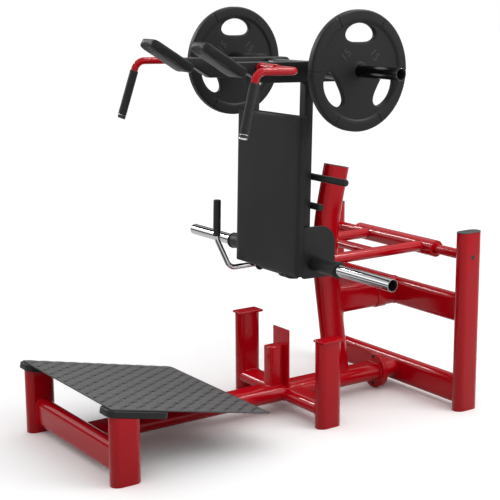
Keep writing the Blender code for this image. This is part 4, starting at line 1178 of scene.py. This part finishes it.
@dataclass
class Cushion:
    """A crowned pad with a soft rim: its cover is blown up by a cloth simulation, then held to its box."""

    name: str
    node: str
    size: Triple
    corner: float
    edge: float
    place: Matrix
    voxel: float = 0.0042
    crown: float = 0.004
    most_move: float = 0.0018
    fill: float = 0.95
    pressure: float = 4.0
    frames: int = 20
    body: str = "carriage"

    def rings(self, inset: float) -> list[Ring]:
        """The pad's rings, from its flat back to the middle of its crowned face.

        Args:
            inset: How far all of them stand inside the pad's true size.

        Returns:
            The rings in the pad's own measures, its back at Z 0.
        """
        width, length, thickness = self.size
        shoulder = thickness - self.crown
        profile = [(self.edge * 0.5, 0.0), (self.edge * 0.12, self.edge * 0.35), (0.0, thickness * 0.4),
                   (0.0, shoulder - self.edge)]
        for k in range(1, 5):
            turn = math.pi / 2 * k / 4
            profile.append((self.edge * (1 - math.cos(turn)), shoulder - self.edge * (1 - math.sin(turn))))
        half = min(width, length) / 2
        for share in (0.2, 0.45, 0.7, 0.93):
            profile.append((self.edge + (half - self.edge) * share,
                            shoulder + self.crown * math.sin(math.pi / 2 * share)))
        rows = []
        for step, z in profile:
            away = step + inset
            outline = box_outline(width - 2 * away, length - 2 * away, max(self.corner - away, 0.002))
            height = min(max(z, inset), thickness - inset)
            rows.append([at(u, v, height) for u, v in outline])
        return rows

    def simulate(self, piece: bpy.types.Object) -> None:
        """Blows the cover up a little, so that it rounds and wrinkles as a stuffed one does.

        Args:
            piece: The pad, which ends with its new mesh.
        """
        remesh = piece.modifiers.new("even", "REMESH")
        remesh.mode = "VOXEL"
        remesh.voxel_size = self.voxel
        self._apply(piece)
        rest = [v.co.copy() for v in piece.data.vertices]
        back = min(v.z for v in rest)
        held = piece.vertex_groups.new(name="held")
        held.add([i for i, v in enumerate(rest) if v.z < back + 0.002], 1.0, "REPLACE")
        cloth = piece.modifiers.new("cover", "CLOTH")
        cloth.settings.use_pressure = True
        cloth.settings.uniform_pressure_force = self.pressure
        cloth.settings.vertex_group_mass = held.name
        cloth.settings.quality = 4
        cloth.settings.effector_weights.gravity = 0.0
        cloth.collision_settings.use_collision = False
        for number in range(1, self.frames + 1):
            bpy.context.scene.frame_set(number)
        self._apply(piece)
        for vertex, start in zip(piece.data.vertices, rest):
            move = vertex.co - start
            if move.length > self.most_move:
                vertex.co = start + move * (self.most_move / move.length)
        bpy.context.scene.frame_set(1)

    def _apply(self, piece: bpy.types.Object) -> None:
        """Bakes a piece's modifiers into its mesh.

        Args:
            piece: The piece.
        """
        depsgraph = bpy.context.evaluated_depsgraph_get()
        baked = bpy.data.meshes.new_from_object(piece.evaluated_get(depsgraph))
        piece.modifiers.clear()
        old = piece.data
        piece.data = baked
        bpy.data.meshes.remove(old)

    def build(self) -> None:
        """Builds the pad."""
        shape = Shape(self.name).skin(self.rings(self.most_move * 0.4))
        bmesh.ops.recalc_face_normals(shape.mesh, faces=shape.mesh.faces)
        data = bpy.data.meshes.new(self.name)
        shape.mesh.to_mesh(data)
        piece = linked(self.name, data)
        self.simulate(piece)
        piece.data.transform(Stand.CARRIAGE.matrix @ self.place)
        piece.data.materials.clear()
        piece.data.materials.append(COVER.material())
        piece.data.shade_smooth()
        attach(piece, self.body)
        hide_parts(self.node)
        LOG.info("%s: %d faces on %s", self.name, len(piece.data.polygons), self.body)


@dataclass
class ShoulderPad:
    """Where a shoulder pad lies under the front of its top arm."""

    side: str
    y: float = -0.279
    z: float = 1.4435
    x: float = 0.185
    size: Triple = (0.120, 0.217, 0.040)
    tilt: float = math.radians(30.0)

    @property
    def top(self) -> Vector:
        """The middle of the flat upper face, at X 0."""
        rise = self.size[2] / 2
        return at(0, self.y + rise * math.sin(self.tilt), self.z + rise * math.cos(self.tilt))

    def front_of(self, z: float) -> float:
        """The Y at which a top arm ends against the pad, at a height."""
        return self.top.y - (z - self.top.z) / math.tan(self.tilt) + SEAM / math.sin(self.tilt)

    def build(self) -> None:
        """Builds the pad."""
        centre = self.top + X_AXIS * dict(SIDES)[self.side] * self.x
        place = Matrix.Translation(centre) @ Matrix.Rotation(math.pi - self.tilt, 4, "X")
        Cushion("shoulder_cushion_" + self.side, "shoulder_pad_" + self.side, self.size, corner=0.026,
                edge=0.011, place=place, voxel=0.0035).build()


@dataclass
class BackPad:
    """Where the back pad lies against the rails."""

    size: Triple = (0.436, 0.639, 0.035)
    bottom: float = 0.592
    rear: float = 0.1097

    def build(self) -> None:
        """Builds the pad."""
        centre = at(0, self.rear, self.bottom + self.size[1] / 2)
        place = Matrix.Translation(centre) @ Matrix.Rotation(math.radians(90), 4, "X")
        Cushion("back_cushion", "back_pad", self.size, corner=0.009, edge=0.006, place=place).build()


# Handles, weight plates and release lever

@dataclass
class Handle:
    """A bent tube out of its socket, with a ribbed grip."""

    side: str
    body: str = "carriage"
    radius: float = 0.0143
    root: Triple = (0.2018, -0.100, 1.4155)
    out_x: float = 0.426
    front_y: float = -0.277
    fall: Triple = (0.013, -0.0494, -0.1774)
    bends: Pair = (0.030, 0.045)
    grip_start: float = 0.042
    grip_length: float = 0.200
    grip_radius: float = 0.017
    ring_width: float = 0.0025
    ring_rise: float = 0.0006
    plug_depth: float = 0.011

    def build(self) -> None:
        """Builds the tube, the grip, its end rings and its plug."""
        sign = dict(SIDES)[self.side]
        axis = Vector(self.fall).normalized()
        fall = at(sign * axis.x, axis.y, axis.z)
        x, y, z = self.root
        front = at(sign * self.out_x, self.front_y, z)
        end = front + fall * (self.grip_start + self.grip_length - 0.004)
        tube = Shape("handle_tube_" + self.side, Stand.CARRIAGE)
        path = bend_path([at(sign * x, y, z), at(sign * self.out_x, y, z), front, end], self.bends)
        tube.bar(circle(self.radius), path, Z_AXIS).build(RED_PAINT, self.body, "handle_" + self.side)
        r, bore, wide = self.grip_radius, self.radius, self.ring_width
        length = self.grip_length - 2 * wide - self.plug_depth
        top = self.grip_length - wide
        start = front + fall * self.grip_start
        grip = [(bore, 0), (r - 0.0012, 0), (r, 0.0012), (r, length - 0.010), (r - 0.0008, length - 0.009),
                (r - 0.0008, length - 0.008), (r, length - 0.007), (r, length - 0.002), (r - 0.002, length),
                (bore * 0.4, length), (bore * 0.4, length - 0.002), (bore, length - 0.003)]
        sleeve = Shape("handle_sleeve_" + self.side, Stand.CARRIAGE).turned(grip, start, fall, loop=True)
        sleeve.build(GRIP, self.body, "handle_grip_" + self.side)
        rings = Shape("grip_rings_" + self.side, Stand.CARRIAGE)
        for low in (length, top):
            rings.turned([(0, low), (r, low), (r + self.ring_rise, low + wide / 2), (r, low + wide),
                          (0, low + wide)], start, fall)
        rings.build(BRIGHT_CHROME, self.body)
        low, inner = length + wide, r - self.ring_rise
        plug = Shape("grip_plug_" + self.side, Stand.CARRIAGE)
        plug.turned([(0, low), (inner, low), (inner, top), (0, top)], start, fall)
        plug.build(CAP_BLACK, self.body)


@dataclass
class WeightPlate:
    """A rubber weight plate with a raised rim, a hub and three grip holes."""

    side: str
    radius: float = 0.2262
    thickness: float = 0.034
    web: float = 0.023
    rim_inner: float = 0.186
    rim_slope: float = 0.006
    hub: float = 0.031
    hub_rise: float = 0.45
    hub_slope: float = 0.004
    bore: float = 0.0233
    hole_radius: float = 0.142
    hole_depth: float = 0.070
    hole_width: float = 0.142
    fullness: float = 2.15
    edge_round: float = 0.008
    hole_round: float = 0.006
    start_x: float = 0.3991
    y: float = 0.190
    z: float = 1.411
    seam_width: float = 0.0026
    seam_depth: float = 0.002
    number: str = "15"
    number_size: float = 0.046
    number_relief: float = 0.0009
    number_weight: float = 0.0006
    number_radius: float = 0.090
    number_tilt: float = math.radians(49)

    @property
    def middle(self) -> Vector:
        """The plate's middle."""
        return at(dict(SIDES)[self.side] * (self.start_x + self.thickness / 2), self.y, self.z)

    @property
    def holes(self) -> list[float]:
        """The directions that the grip holes lie in."""
        return [math.pi / 2 + math.tau * k / 3 for k in range(3)]

    def hole(self, middle: float, grow: float) -> list[Vector]:
        """The outline of a grip hole.

        Args:
            middle: The direction that it lies in.
            grow: How far the outline stands outside the hole.

        Returns:
            Its points in the plate's plane.
        """
        points = []
        for k in range(48):
            turn = math.tau * (k + 0.5) / 48
            u, v = math.cos(turn), math.sin(turn)
            reach = (abs(u) ** self.fullness + abs(v) ** self.fullness) ** (-1 / self.fullness)
            radius = self.hole_radius + v * reach * (self.hole_depth / 2 + grow)
            angle = middle + u * reach * (self.hole_width / 2 + grow) / self.hole_radius
            points.append(Vector((radius * math.cos(angle), radius * math.sin(angle))))
        return points

    def clear(self, point: Vector) -> float:
        """Measures how far a point stands outside the nearest grip hole.

        Args:
            point: The point in the plate's plane.

        Returns:
            The distance, less than nothing inside a hole.
        """
        best = 1.0
        for middle in self.holes:
            angle = math.atan2(point.y, point.x) - middle
            angle = (angle + math.pi) % math.tau - math.pi
            u = angle * self.hole_radius / (self.hole_width / 2)
            v = (point.length - self.hole_radius) / (self.hole_depth / 2)
            size = (abs(u) ** self.fullness + abs(v) ** self.fullness) ** (1 / self.fullness)
            if size < 1e-9:
                return -self.hole_depth / 2
            reach = math.hypot(u * self.hole_width / 2, v * self.hole_depth / 2)
            best = min(best, reach * (1 - 1 / size))
        return best

    def face_height(self, point: Vector) -> float:
        """The height of the plate's face at a point.

        Args:
            point: The point in the plate's plane.

        Returns:
            The height above the plate's middle plane.
        """
        half, web = self.thickness / 2, self.web / 2
        r = point.length
        rise = 0.0
        if r > self.rim_inner - self.rim_slope:
            rise = min((r - self.rim_inner + self.rim_slope) / self.rim_slope, 1.0)
        if r < self.hub + self.hub_slope:
            rise = min((self.hub + self.hub_slope - r) / self.hub_slope, 1.0) * self.hub_rise
        height = web + (half - web) * rise
        near_hole = max(self.clear(point), 0.0)
        for away, soft in ((self.radius - r, self.edge_round), (near_hole, self.hole_round)):
            if away < soft:
                height -= soft - math.sqrt(max(soft ** 2 - (soft - away) ** 2, 0.0))
        part = math.pi / 3
        away = abs((math.atan2(point.y, point.x) + part / 2) % part - part / 2) * r
        if r > self.rim_inner - 0.003 and away < self.seam_width * 0.6:
            height -= self.seam_depth
        return height

    def rim_turn(self, radius: float) -> list[Vector]:
        """A circle in the plate's plane, with points close together at the rim's six seams.

        Args:
            radius: The circle's radius.

        Returns:
            Its points.
        """
        sides = (-self.seam_width, -self.seam_width / 2, self.seam_width / 2, self.seam_width)
        turns = [math.radians(a) for a in range(0, 360, 3) if a % 60]
        for k in range(6):
            turns += [math.radians(60 * k) + side / self.radius for side in sides]
        return [Vector((radius * math.cos(a), radius * math.sin(a))) for a in sorted(turns)]

    def web_of_triangles(self) -> tuple[list[Vector], list[list[int]]]:
        """Lays the plate out flat, with points close together where its face bends.

        Returns:
            The points, and the faces between them.
        """
        points: list[Vector] = []
        edges: list[tuple[int, int]] = []

        def loop(outline: Sequence[Any]) -> None:
            """Adds an outline's points, joined in a closed line.

            Args:
                outline: The outline.
            """
            numbers = list(range(len(points), len(points) + len(outline)))
            points.extend(Vector(p) for p in outline)
            edges.extend(zip(numbers, numbers[1:] + numbers[:1]))

        def scatter(radius: float, steps: int, distance: float) -> None:
            """Adds the points of a circle that stand more than distance away from every hole."""
            spots = [Vector(p) for p in circle(radius, steps)]
            points.extend(p for p in spots if self.clear(p) > distance)

        loop(self.rim_turn(self.radius))
        loop(circle(self.bore))
        for middle in self.holes:
            for grow in (0.0, 0.0008, 0.0018, 0.0032, 0.006):
                loop(self.hole(middle, grow))
        for inset in (0.0003, 0.001, 0.002, 0.0035, 0.0055, 0.008, 0.020, 0.030, 0.0402):
            loop(self.rim_turn(self.radius - inset))
        for radius in (0.1838, 0.182, 0.180, 0.178, 0.175):
            scatter(radius, 120, 0.007)
        for radius in (0.0255, 0.031, 0.0323, 0.0337, 0.035, 0.038, 0.046, 0.054):
            loop(circle(radius, 60))
        for radius in (0.062, 0.075, 0.09, 0.105, 0.12, 0.135, 0.15, 0.163, 0.171):
            scatter(radius, 72, 0.010)
        flat, _, faces, *_ = geometry.delaunay_2d_cdt(points, edges, [], 0, 1e-6)
        keep = []
        for face in faces:
            centre = sum((flat[i] for i in face), Vector((0, 0))) / len(face)
            if self.bore < centre.length < self.radius and self.clear(centre) > 0:
                keep.append(face)
        return flat, keep

    def build(self) -> None:
        """Builds the plate from a flat web of triangles, raised on both faces, and its numbers."""
        flat, keep = self.web_of_triangles()
        shape = Shape("weight_disc_" + self.side, Stand.CARRIAGE)
        tops = {}
        for way in (-1, 1):
            tops[way] = [shape.mesh.verts.new(self.middle + at(way * self.face_height(p), p.x, p.y))
                         for p in flat]
            for face in keep:
                shape.mesh.faces.new([tops[way][i] for i in face])
        uses: dict[tuple[int, int], tuple[int, int]] = {}
        for face in keep:
            for a, b in zip(face, face[1:] + face[:1]):
                if uses.pop((min(a, b), max(a, b)), None) is None:
                    uses[(min(a, b), max(a, b))] = (a, b)
        for a, b in uses.values():
            shape.mesh.faces.new((tops[-1][a], tops[-1][b], tops[1][b], tops[1][a]))
        loose = [v for v in shape.mesh.verts if not v.link_faces]
        bmesh.ops.delete(shape.mesh, geom=loose, context="VERTS")
        shape.build(PLATE_RUBBER, "weight_" + self.side, "weight_plate_" + self.side, sharp=55)
        self.numerals()

    def numerals(self) -> None:
        """Raises a plain weight number twice on each face."""
        written = bpy.data.curves.new("plate_number_text", "FONT")
        written.body = self.number
        written.size = self.number_size
        written.align_x = "CENTER"
        written.align_y = "CENTER"
        written.extrude = self.number_relief
        written.offset = self.number_weight
        maker = linked("plate_number_text", written)
        flat = bpy.data.meshes.new_from_object(maker.evaluated_get(bpy.context.evaluated_depsgraph_get()))
        bpy.data.objects.remove(maker)
        bpy.data.curves.remove(written)
        number = Shape("plate_numbers_" + self.side, Stand.CARRIAGE)
        for way in (-1, 1):
            for tilt in (self.number_tilt, -self.number_tilt):
                upward = at(0, math.sin(tilt), math.cos(tilt))
                across = at(0, way * math.cos(tilt), -way * math.sin(tilt))
                origin = self.middle + upward * self.number_radius + X_AXIS * way * self.web / 2
                turn = Matrix((across, upward, X_AXIS * way)).transposed().to_4x4()
                placed = flat.copy()
                placed.transform(Matrix.Translation(origin) @ turn)
                number.mesh.from_mesh(placed)
                bpy.data.meshes.remove(placed)
        bpy.data.meshes.remove(flat)
        number.build(CAP_BLACK, "weight_" + self.side)


@dataclass
class ReleaseLever:
    """The bent release rod with its grip and hook, and the bearing on the horn bar."""

    body: str = "release_lever"
    x: float = 0.237
    shaft: Pair = (0.197, 0.560)
    chrome_end: float = 0.205
    radius: float = 0.0115
    grip_y: float = -0.004
    grip_z: Pair = (0.699, 0.851)
    grip_radius: float = 0.01575
    knee_z: float = 0.685
    low: Pair = (0.0625, 0.5565)
    bends: Pair = (0.050, 0.045)
    hook_x: Pair = (-0.0165, 0.0205)
    hook_hub: float = 0.0185
    hook_reach: float = 0.030
    hook_fall: float = 0.45
    hook_nose: float = 0.008
    bearing_x: Pair = (-0.050, -0.018)
    bearing: tuple[Pair, float] = ((0.168, 0.644), 0.032)

    def build(self) -> None:
        """Builds the rod, its cross shaft, its hook and its grip, then the bearing on the carriage."""
        y, z = self.shaft
        low, high = self.grip_z
        start, end = self.hook_x
        corners = [at(-self.x, self.grip_y, high - 0.006), at(-self.x, self.grip_y, self.knee_z),
                   at(-self.x, *self.low), at(-self.x, y, z), at(-self.chrome_end, y, z)]
        path = bend_path(corners, [*self.bends, 1.5 * self.radius])
        rod = Shape("release_rod_bar", Stand.CARRIAGE).bar(circle(self.radius), path, X_AXIS)
        rod.build(BRIGHT_CHROME, self.body, "release_rod")
        line = [at(-self.chrome_end, y, z), at(start, y, z)]
        shaft = Shape("release_cross_shaft", Stand.CARRIAGE).bar(circle(self.radius), line, Z_AXIS)
        shaft.build(BLACK_PAINT, self.body)
        nose = (y + self.hook_reach, z - self.hook_reach * self.hook_fall)
        hook = lug_outline((y, z), self.hook_hub, nose, self.hook_nose)
        claw = Shape("catch_hook", Stand.CARRIAGE)
        claw.slab(hook, X_AXIS * start, X_AXIS * (end - start), Y_AXIS, Z_AXIS, edge=0.003)
        claw.build(BLACK_PAINT, self.body)
        r, length = self.grip_radius, high - low
        profile = [(0, 0), (self.radius, 0), (r - 0.0012, 0), (r, 0.0012), (r, length - 0.004),
                   (r - 0.0012, length - 0.001), (r - 0.004, length), (0, length)]
        grip = Shape("release_grip_sleeve", Stand.CARRIAGE)
        grip.turned(profile, at(-self.x, self.grip_y, low), Z_AXIS)
        grip.build(GRIP, self.body, "release_grip")
        start, end = self.bearing_x
        lug = Shape("release_bearing_lug", Stand.CARRIAGE)
        strap = lug_outline(*self.bearing, self.shaft, self.hook_hub)
        lug.slab(strap, X_AXIS * start, X_AXIS * (end - start), Y_AXIS, Z_AXIS, edge=0.0015)
        lug.build(BLACK_PAINT, "carriage", "release_bearing")


# The studio

@dataclass(frozen=True)
class Softbox:
    """An area lamp."""

    name: str
    way: Triple
    distance: float
    size: Pair
    power: float
    gloss_only: bool = False

    def build(self, aim: Vector) -> None:
        """Builds the lamp.

        Args:
            aim: The point that it is placed from and turned to.
        """
        data = bpy.data.lights.new(self.name, "AREA")
        data.shape = "RECTANGLE"
        data.size, data.size_y = self.size
        data.energy = self.power
        lamp = linked(self.name, data)
        place = aim + Vector(self.way) * self.distance
        lamp.location = place
        lamp.visible_diffuse = not self.gloss_only
        lamp.rotation_euler = (aim - place).to_track_quat("-Z", "Y").to_euler()


@dataclass(frozen=True)
class Card:
    """A glowing card far from the machine, which only glossy surfaces show."""

    name: str
    bearing: float
    spread: float
    heights: Pair
    distance: float = 9.0
    glow: float = 0.04
    steps: int = 24

    def build(self) -> None:
        """Stands the card up, as part of a round wall."""
        low, high = self.heights
        points = []
        for k in range(self.steps + 1):
            turn = math.radians(self.bearing) + math.radians(self.spread) * (k / self.steps - 0.5)
            foot = at(math.cos(turn), math.sin(turn), 0) * self.distance
            points += [foot + Z_AXIS * low, foot + Z_AXIS * high]
        faces = [(2 * k, 2 * k + 2, 2 * k + 3, 2 * k + 1) for k in range(self.steps)]
        card = stage_mesh(self.name, points, faces,
                          lambda tree: socket(tree, "Emission", 0, {"Color": WHITE, "Strength": self.glow}))
        for rays in ("camera", "diffuse", "transmission", "shadow", "volume_scatter"):
            setattr(card, "visible_" + rays, False)


def stage_mesh(name: str, points: Sequence[Any], faces: Sequence[tuple[int, ...]],
               shader: Callable[[Tree], Socket]) -> bpy.types.Object:
    """Adds a mesh that belongs to the studio.

    Args:
        name: Its name.
        points: Its points.
        faces: The faces between them.
        shader: Makes its surface among the material's nodes.

    Returns:
        The object.
    """
    data = bpy.data.meshes.new(name)
    data.from_pydata(points, [], faces)
    thing = linked(name, data)
    material = bpy.data.materials.new(name)
    material.use_nodes = True
    tree = material.node_tree
    tree.nodes.remove(tree.nodes["Principled BSDF"])
    feed(tree, tree.nodes["Material Output"], {"Surface": shader(tree)})
    data.materials.append(material)
    return thing


def backdrop_rays(tree: Tree) -> Socket:
    """Adds the test for rays that see the background.

    Args:
        tree: The nodes of the world or of the floor.

    Returns:
        1 for camera, glossy and transmission rays, 0 for the rest.
    """
    rays = tree.nodes.new("ShaderNodeLightPath").outputs
    last = rays["Is Camera Ray"]
    for kind in ("Is Glossy Ray", "Is Transmission Ray"):
        last = socket(tree, "Math", 0, {0: last, 1: rays[kind]}, operation="MAXIMUM")
    return last


@dataclass
class Studio:
    """The camera at the photograph's viewing angle, the lamps, the world and the floor."""

    eye: Triple = (4.14989, -2.827618, 1.75012)
    azimuth: float = 0.970502
    pitch: float = 0.206096
    roll: float = -0.0056584
    lens: float = 92.01
    sensor: float = 36.0
    aim: Triple = (0, 0, 0.6)
    floor_size: float = 60.0
    floor_colour: float = 0.35
    floor_seen: float = 1.08
    side_light: float = 0.22
    top_light: float = 1.32
    cards: tuple[Card, ...] = (
        Card("rear_card", 146, 110, (0.0, 4.2)),
        Card("upper_card", 182, 40, (5.6, 7.6)),
        Card("front_card", 214, 40, (0.0, 1.3), 6.0, 0.08),
        Card("glow_card", 210, 36, (2.2, 4.9), 9.0, 2.3))
    lamps: tuple[Softbox, ...] = (
        Softbox("left_strip", (-0.81, -0.25, 0.55), 5.0, (0.35, 1.4), 95, True),
        Softbox("rear_strip", (0.15, 0.50, 0.85), 4.6, (0.35, 2.0), 160, True),
        Softbox("key", (0.8, 0.6, 0.63), 3.0, (2.0, 2.0), 33))

    def camera(self) -> None:
        """Sets the camera up."""
        ahead = at(-math.sin(self.azimuth) * math.cos(self.pitch),
                   math.cos(self.azimuth) * math.cos(self.pitch), -math.sin(self.pitch))
        level = at(math.cos(self.azimuth), math.sin(self.azimuth), 0)
        upward = level.cross(ahead)
        right = level * math.cos(self.roll) + upward * math.sin(self.roll)
        top = upward * math.cos(self.roll) - level * math.sin(self.roll)
        data = bpy.data.cameras.new("camera")
        data.lens = self.lens
        data.sensor_width = self.sensor
        data.clip_end = 200
        camera = linked("camera", data)
        turn = Matrix((right, top, -ahead)).transposed().to_4x4()
        camera.matrix_world = Matrix.Translation(self.eye) @ turn
        bpy.context.scene.camera = camera

    def world(self) -> None:
        """Makes the world white where it is seen, and as a light stronger from above than from the side."""
        world = bpy.data.worlds.new("studio")
        world.use_nodes = True
        bpy.context.scene.world = world
        tree = world.node_tree
        light = tree.nodes["Background"]
        heading = socket(tree, "TexCoord", "Generated", {})
        up = socket(tree, "SeparateXYZ", "Z", {0: heading})
        rise = socket(tree, "MapRange", "Result",
                      {"To Min": self.side_light, "To Max": self.top_light, "Value": up})
        feed(tree, light, {"Color": WHITE, "Strength": rise})
        white = socket(tree, "Background", 0, {"Color": WHITE, "Strength": 1.0})
        mix = socket(tree, "MixShader", 0, {0: backdrop_rays(tree), 1: light.outputs[0], 2: white})
        feed(tree, tree.nodes["World Output"], {"Surface": mix})

    def floor(self) -> None:
        """Lays the floor, which stays white but for the machine's soft shadow."""
        half = self.floor_size / 2

        def paint(tree: Tree) -> Socket:
            """The floor's shader, whose colour differs between rays that see it and rays that light it."""
            shade = socket(tree, "Mix", "Result", {
                "Factor": backdrop_rays(tree), "A": (self.floor_colour,) * 3 + (1,),
                "B": (self.floor_seen,) * 3 + (1,)}, data_type="RGBA")
            return socket(tree, "BsdfDiffuse", 0, {"Color": shade})

        stage_mesh("floor", [(-half, -half, 0), (half, -half, 0), (half, half, 0), (-half, half, 0)],
                   [(0, 1, 2, 3)], paint)

    def build(self) -> None:
        """Builds the studio."""
        bpy.context.scene.view_settings.view_transform = "Standard"
        self.camera()
        self.world()
        self.floor()
        for card in self.cards:
            card.build()
        for lamp in self.lamps:
            lamp.build(Vector(self.aim))


def main() -> None:
    """Builds the studio and the machine, logging each piece's face count."""
    logging.basicConfig(level=logging.INFO, format="%(name)s %(message)s")
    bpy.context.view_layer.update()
    Studio().build()
    FloorFrame().build()
    Platform().build()
    Lever().build()
    HornBar("lower_horn_bar", y=0.168, z=0.644, radius=0.024, wall=0.0025, length=1.366, collar_radius=0.0302,
            collar_length=0.156, collar_start=0.2121, finish=BRIGHT_CHROME, collar_finish=STOP_RUBBER,
            collar_node="lower_collar", flange=(0.0342, 0.009)).build()
    HornBar("top_horn_bar", y=0.190, z=1.411, radius=0.0228, wall=0.003, length=1.321, collar_radius=0.039,
            collar_length=0.197, collar_start=0.2018, finish=DARK_CHROME, collar_finish=BLACK_PAINT,
            collar_node="top_collar").build()
    Uprights().build()
    BackPad().build()
    for side, _ in SIDES:
        ShoulderPad(side).build()
        Handle(side).build()
        WeightPlate(side).build()
    ReleaseLever().build()


if __name__ == "__main__":
    main()
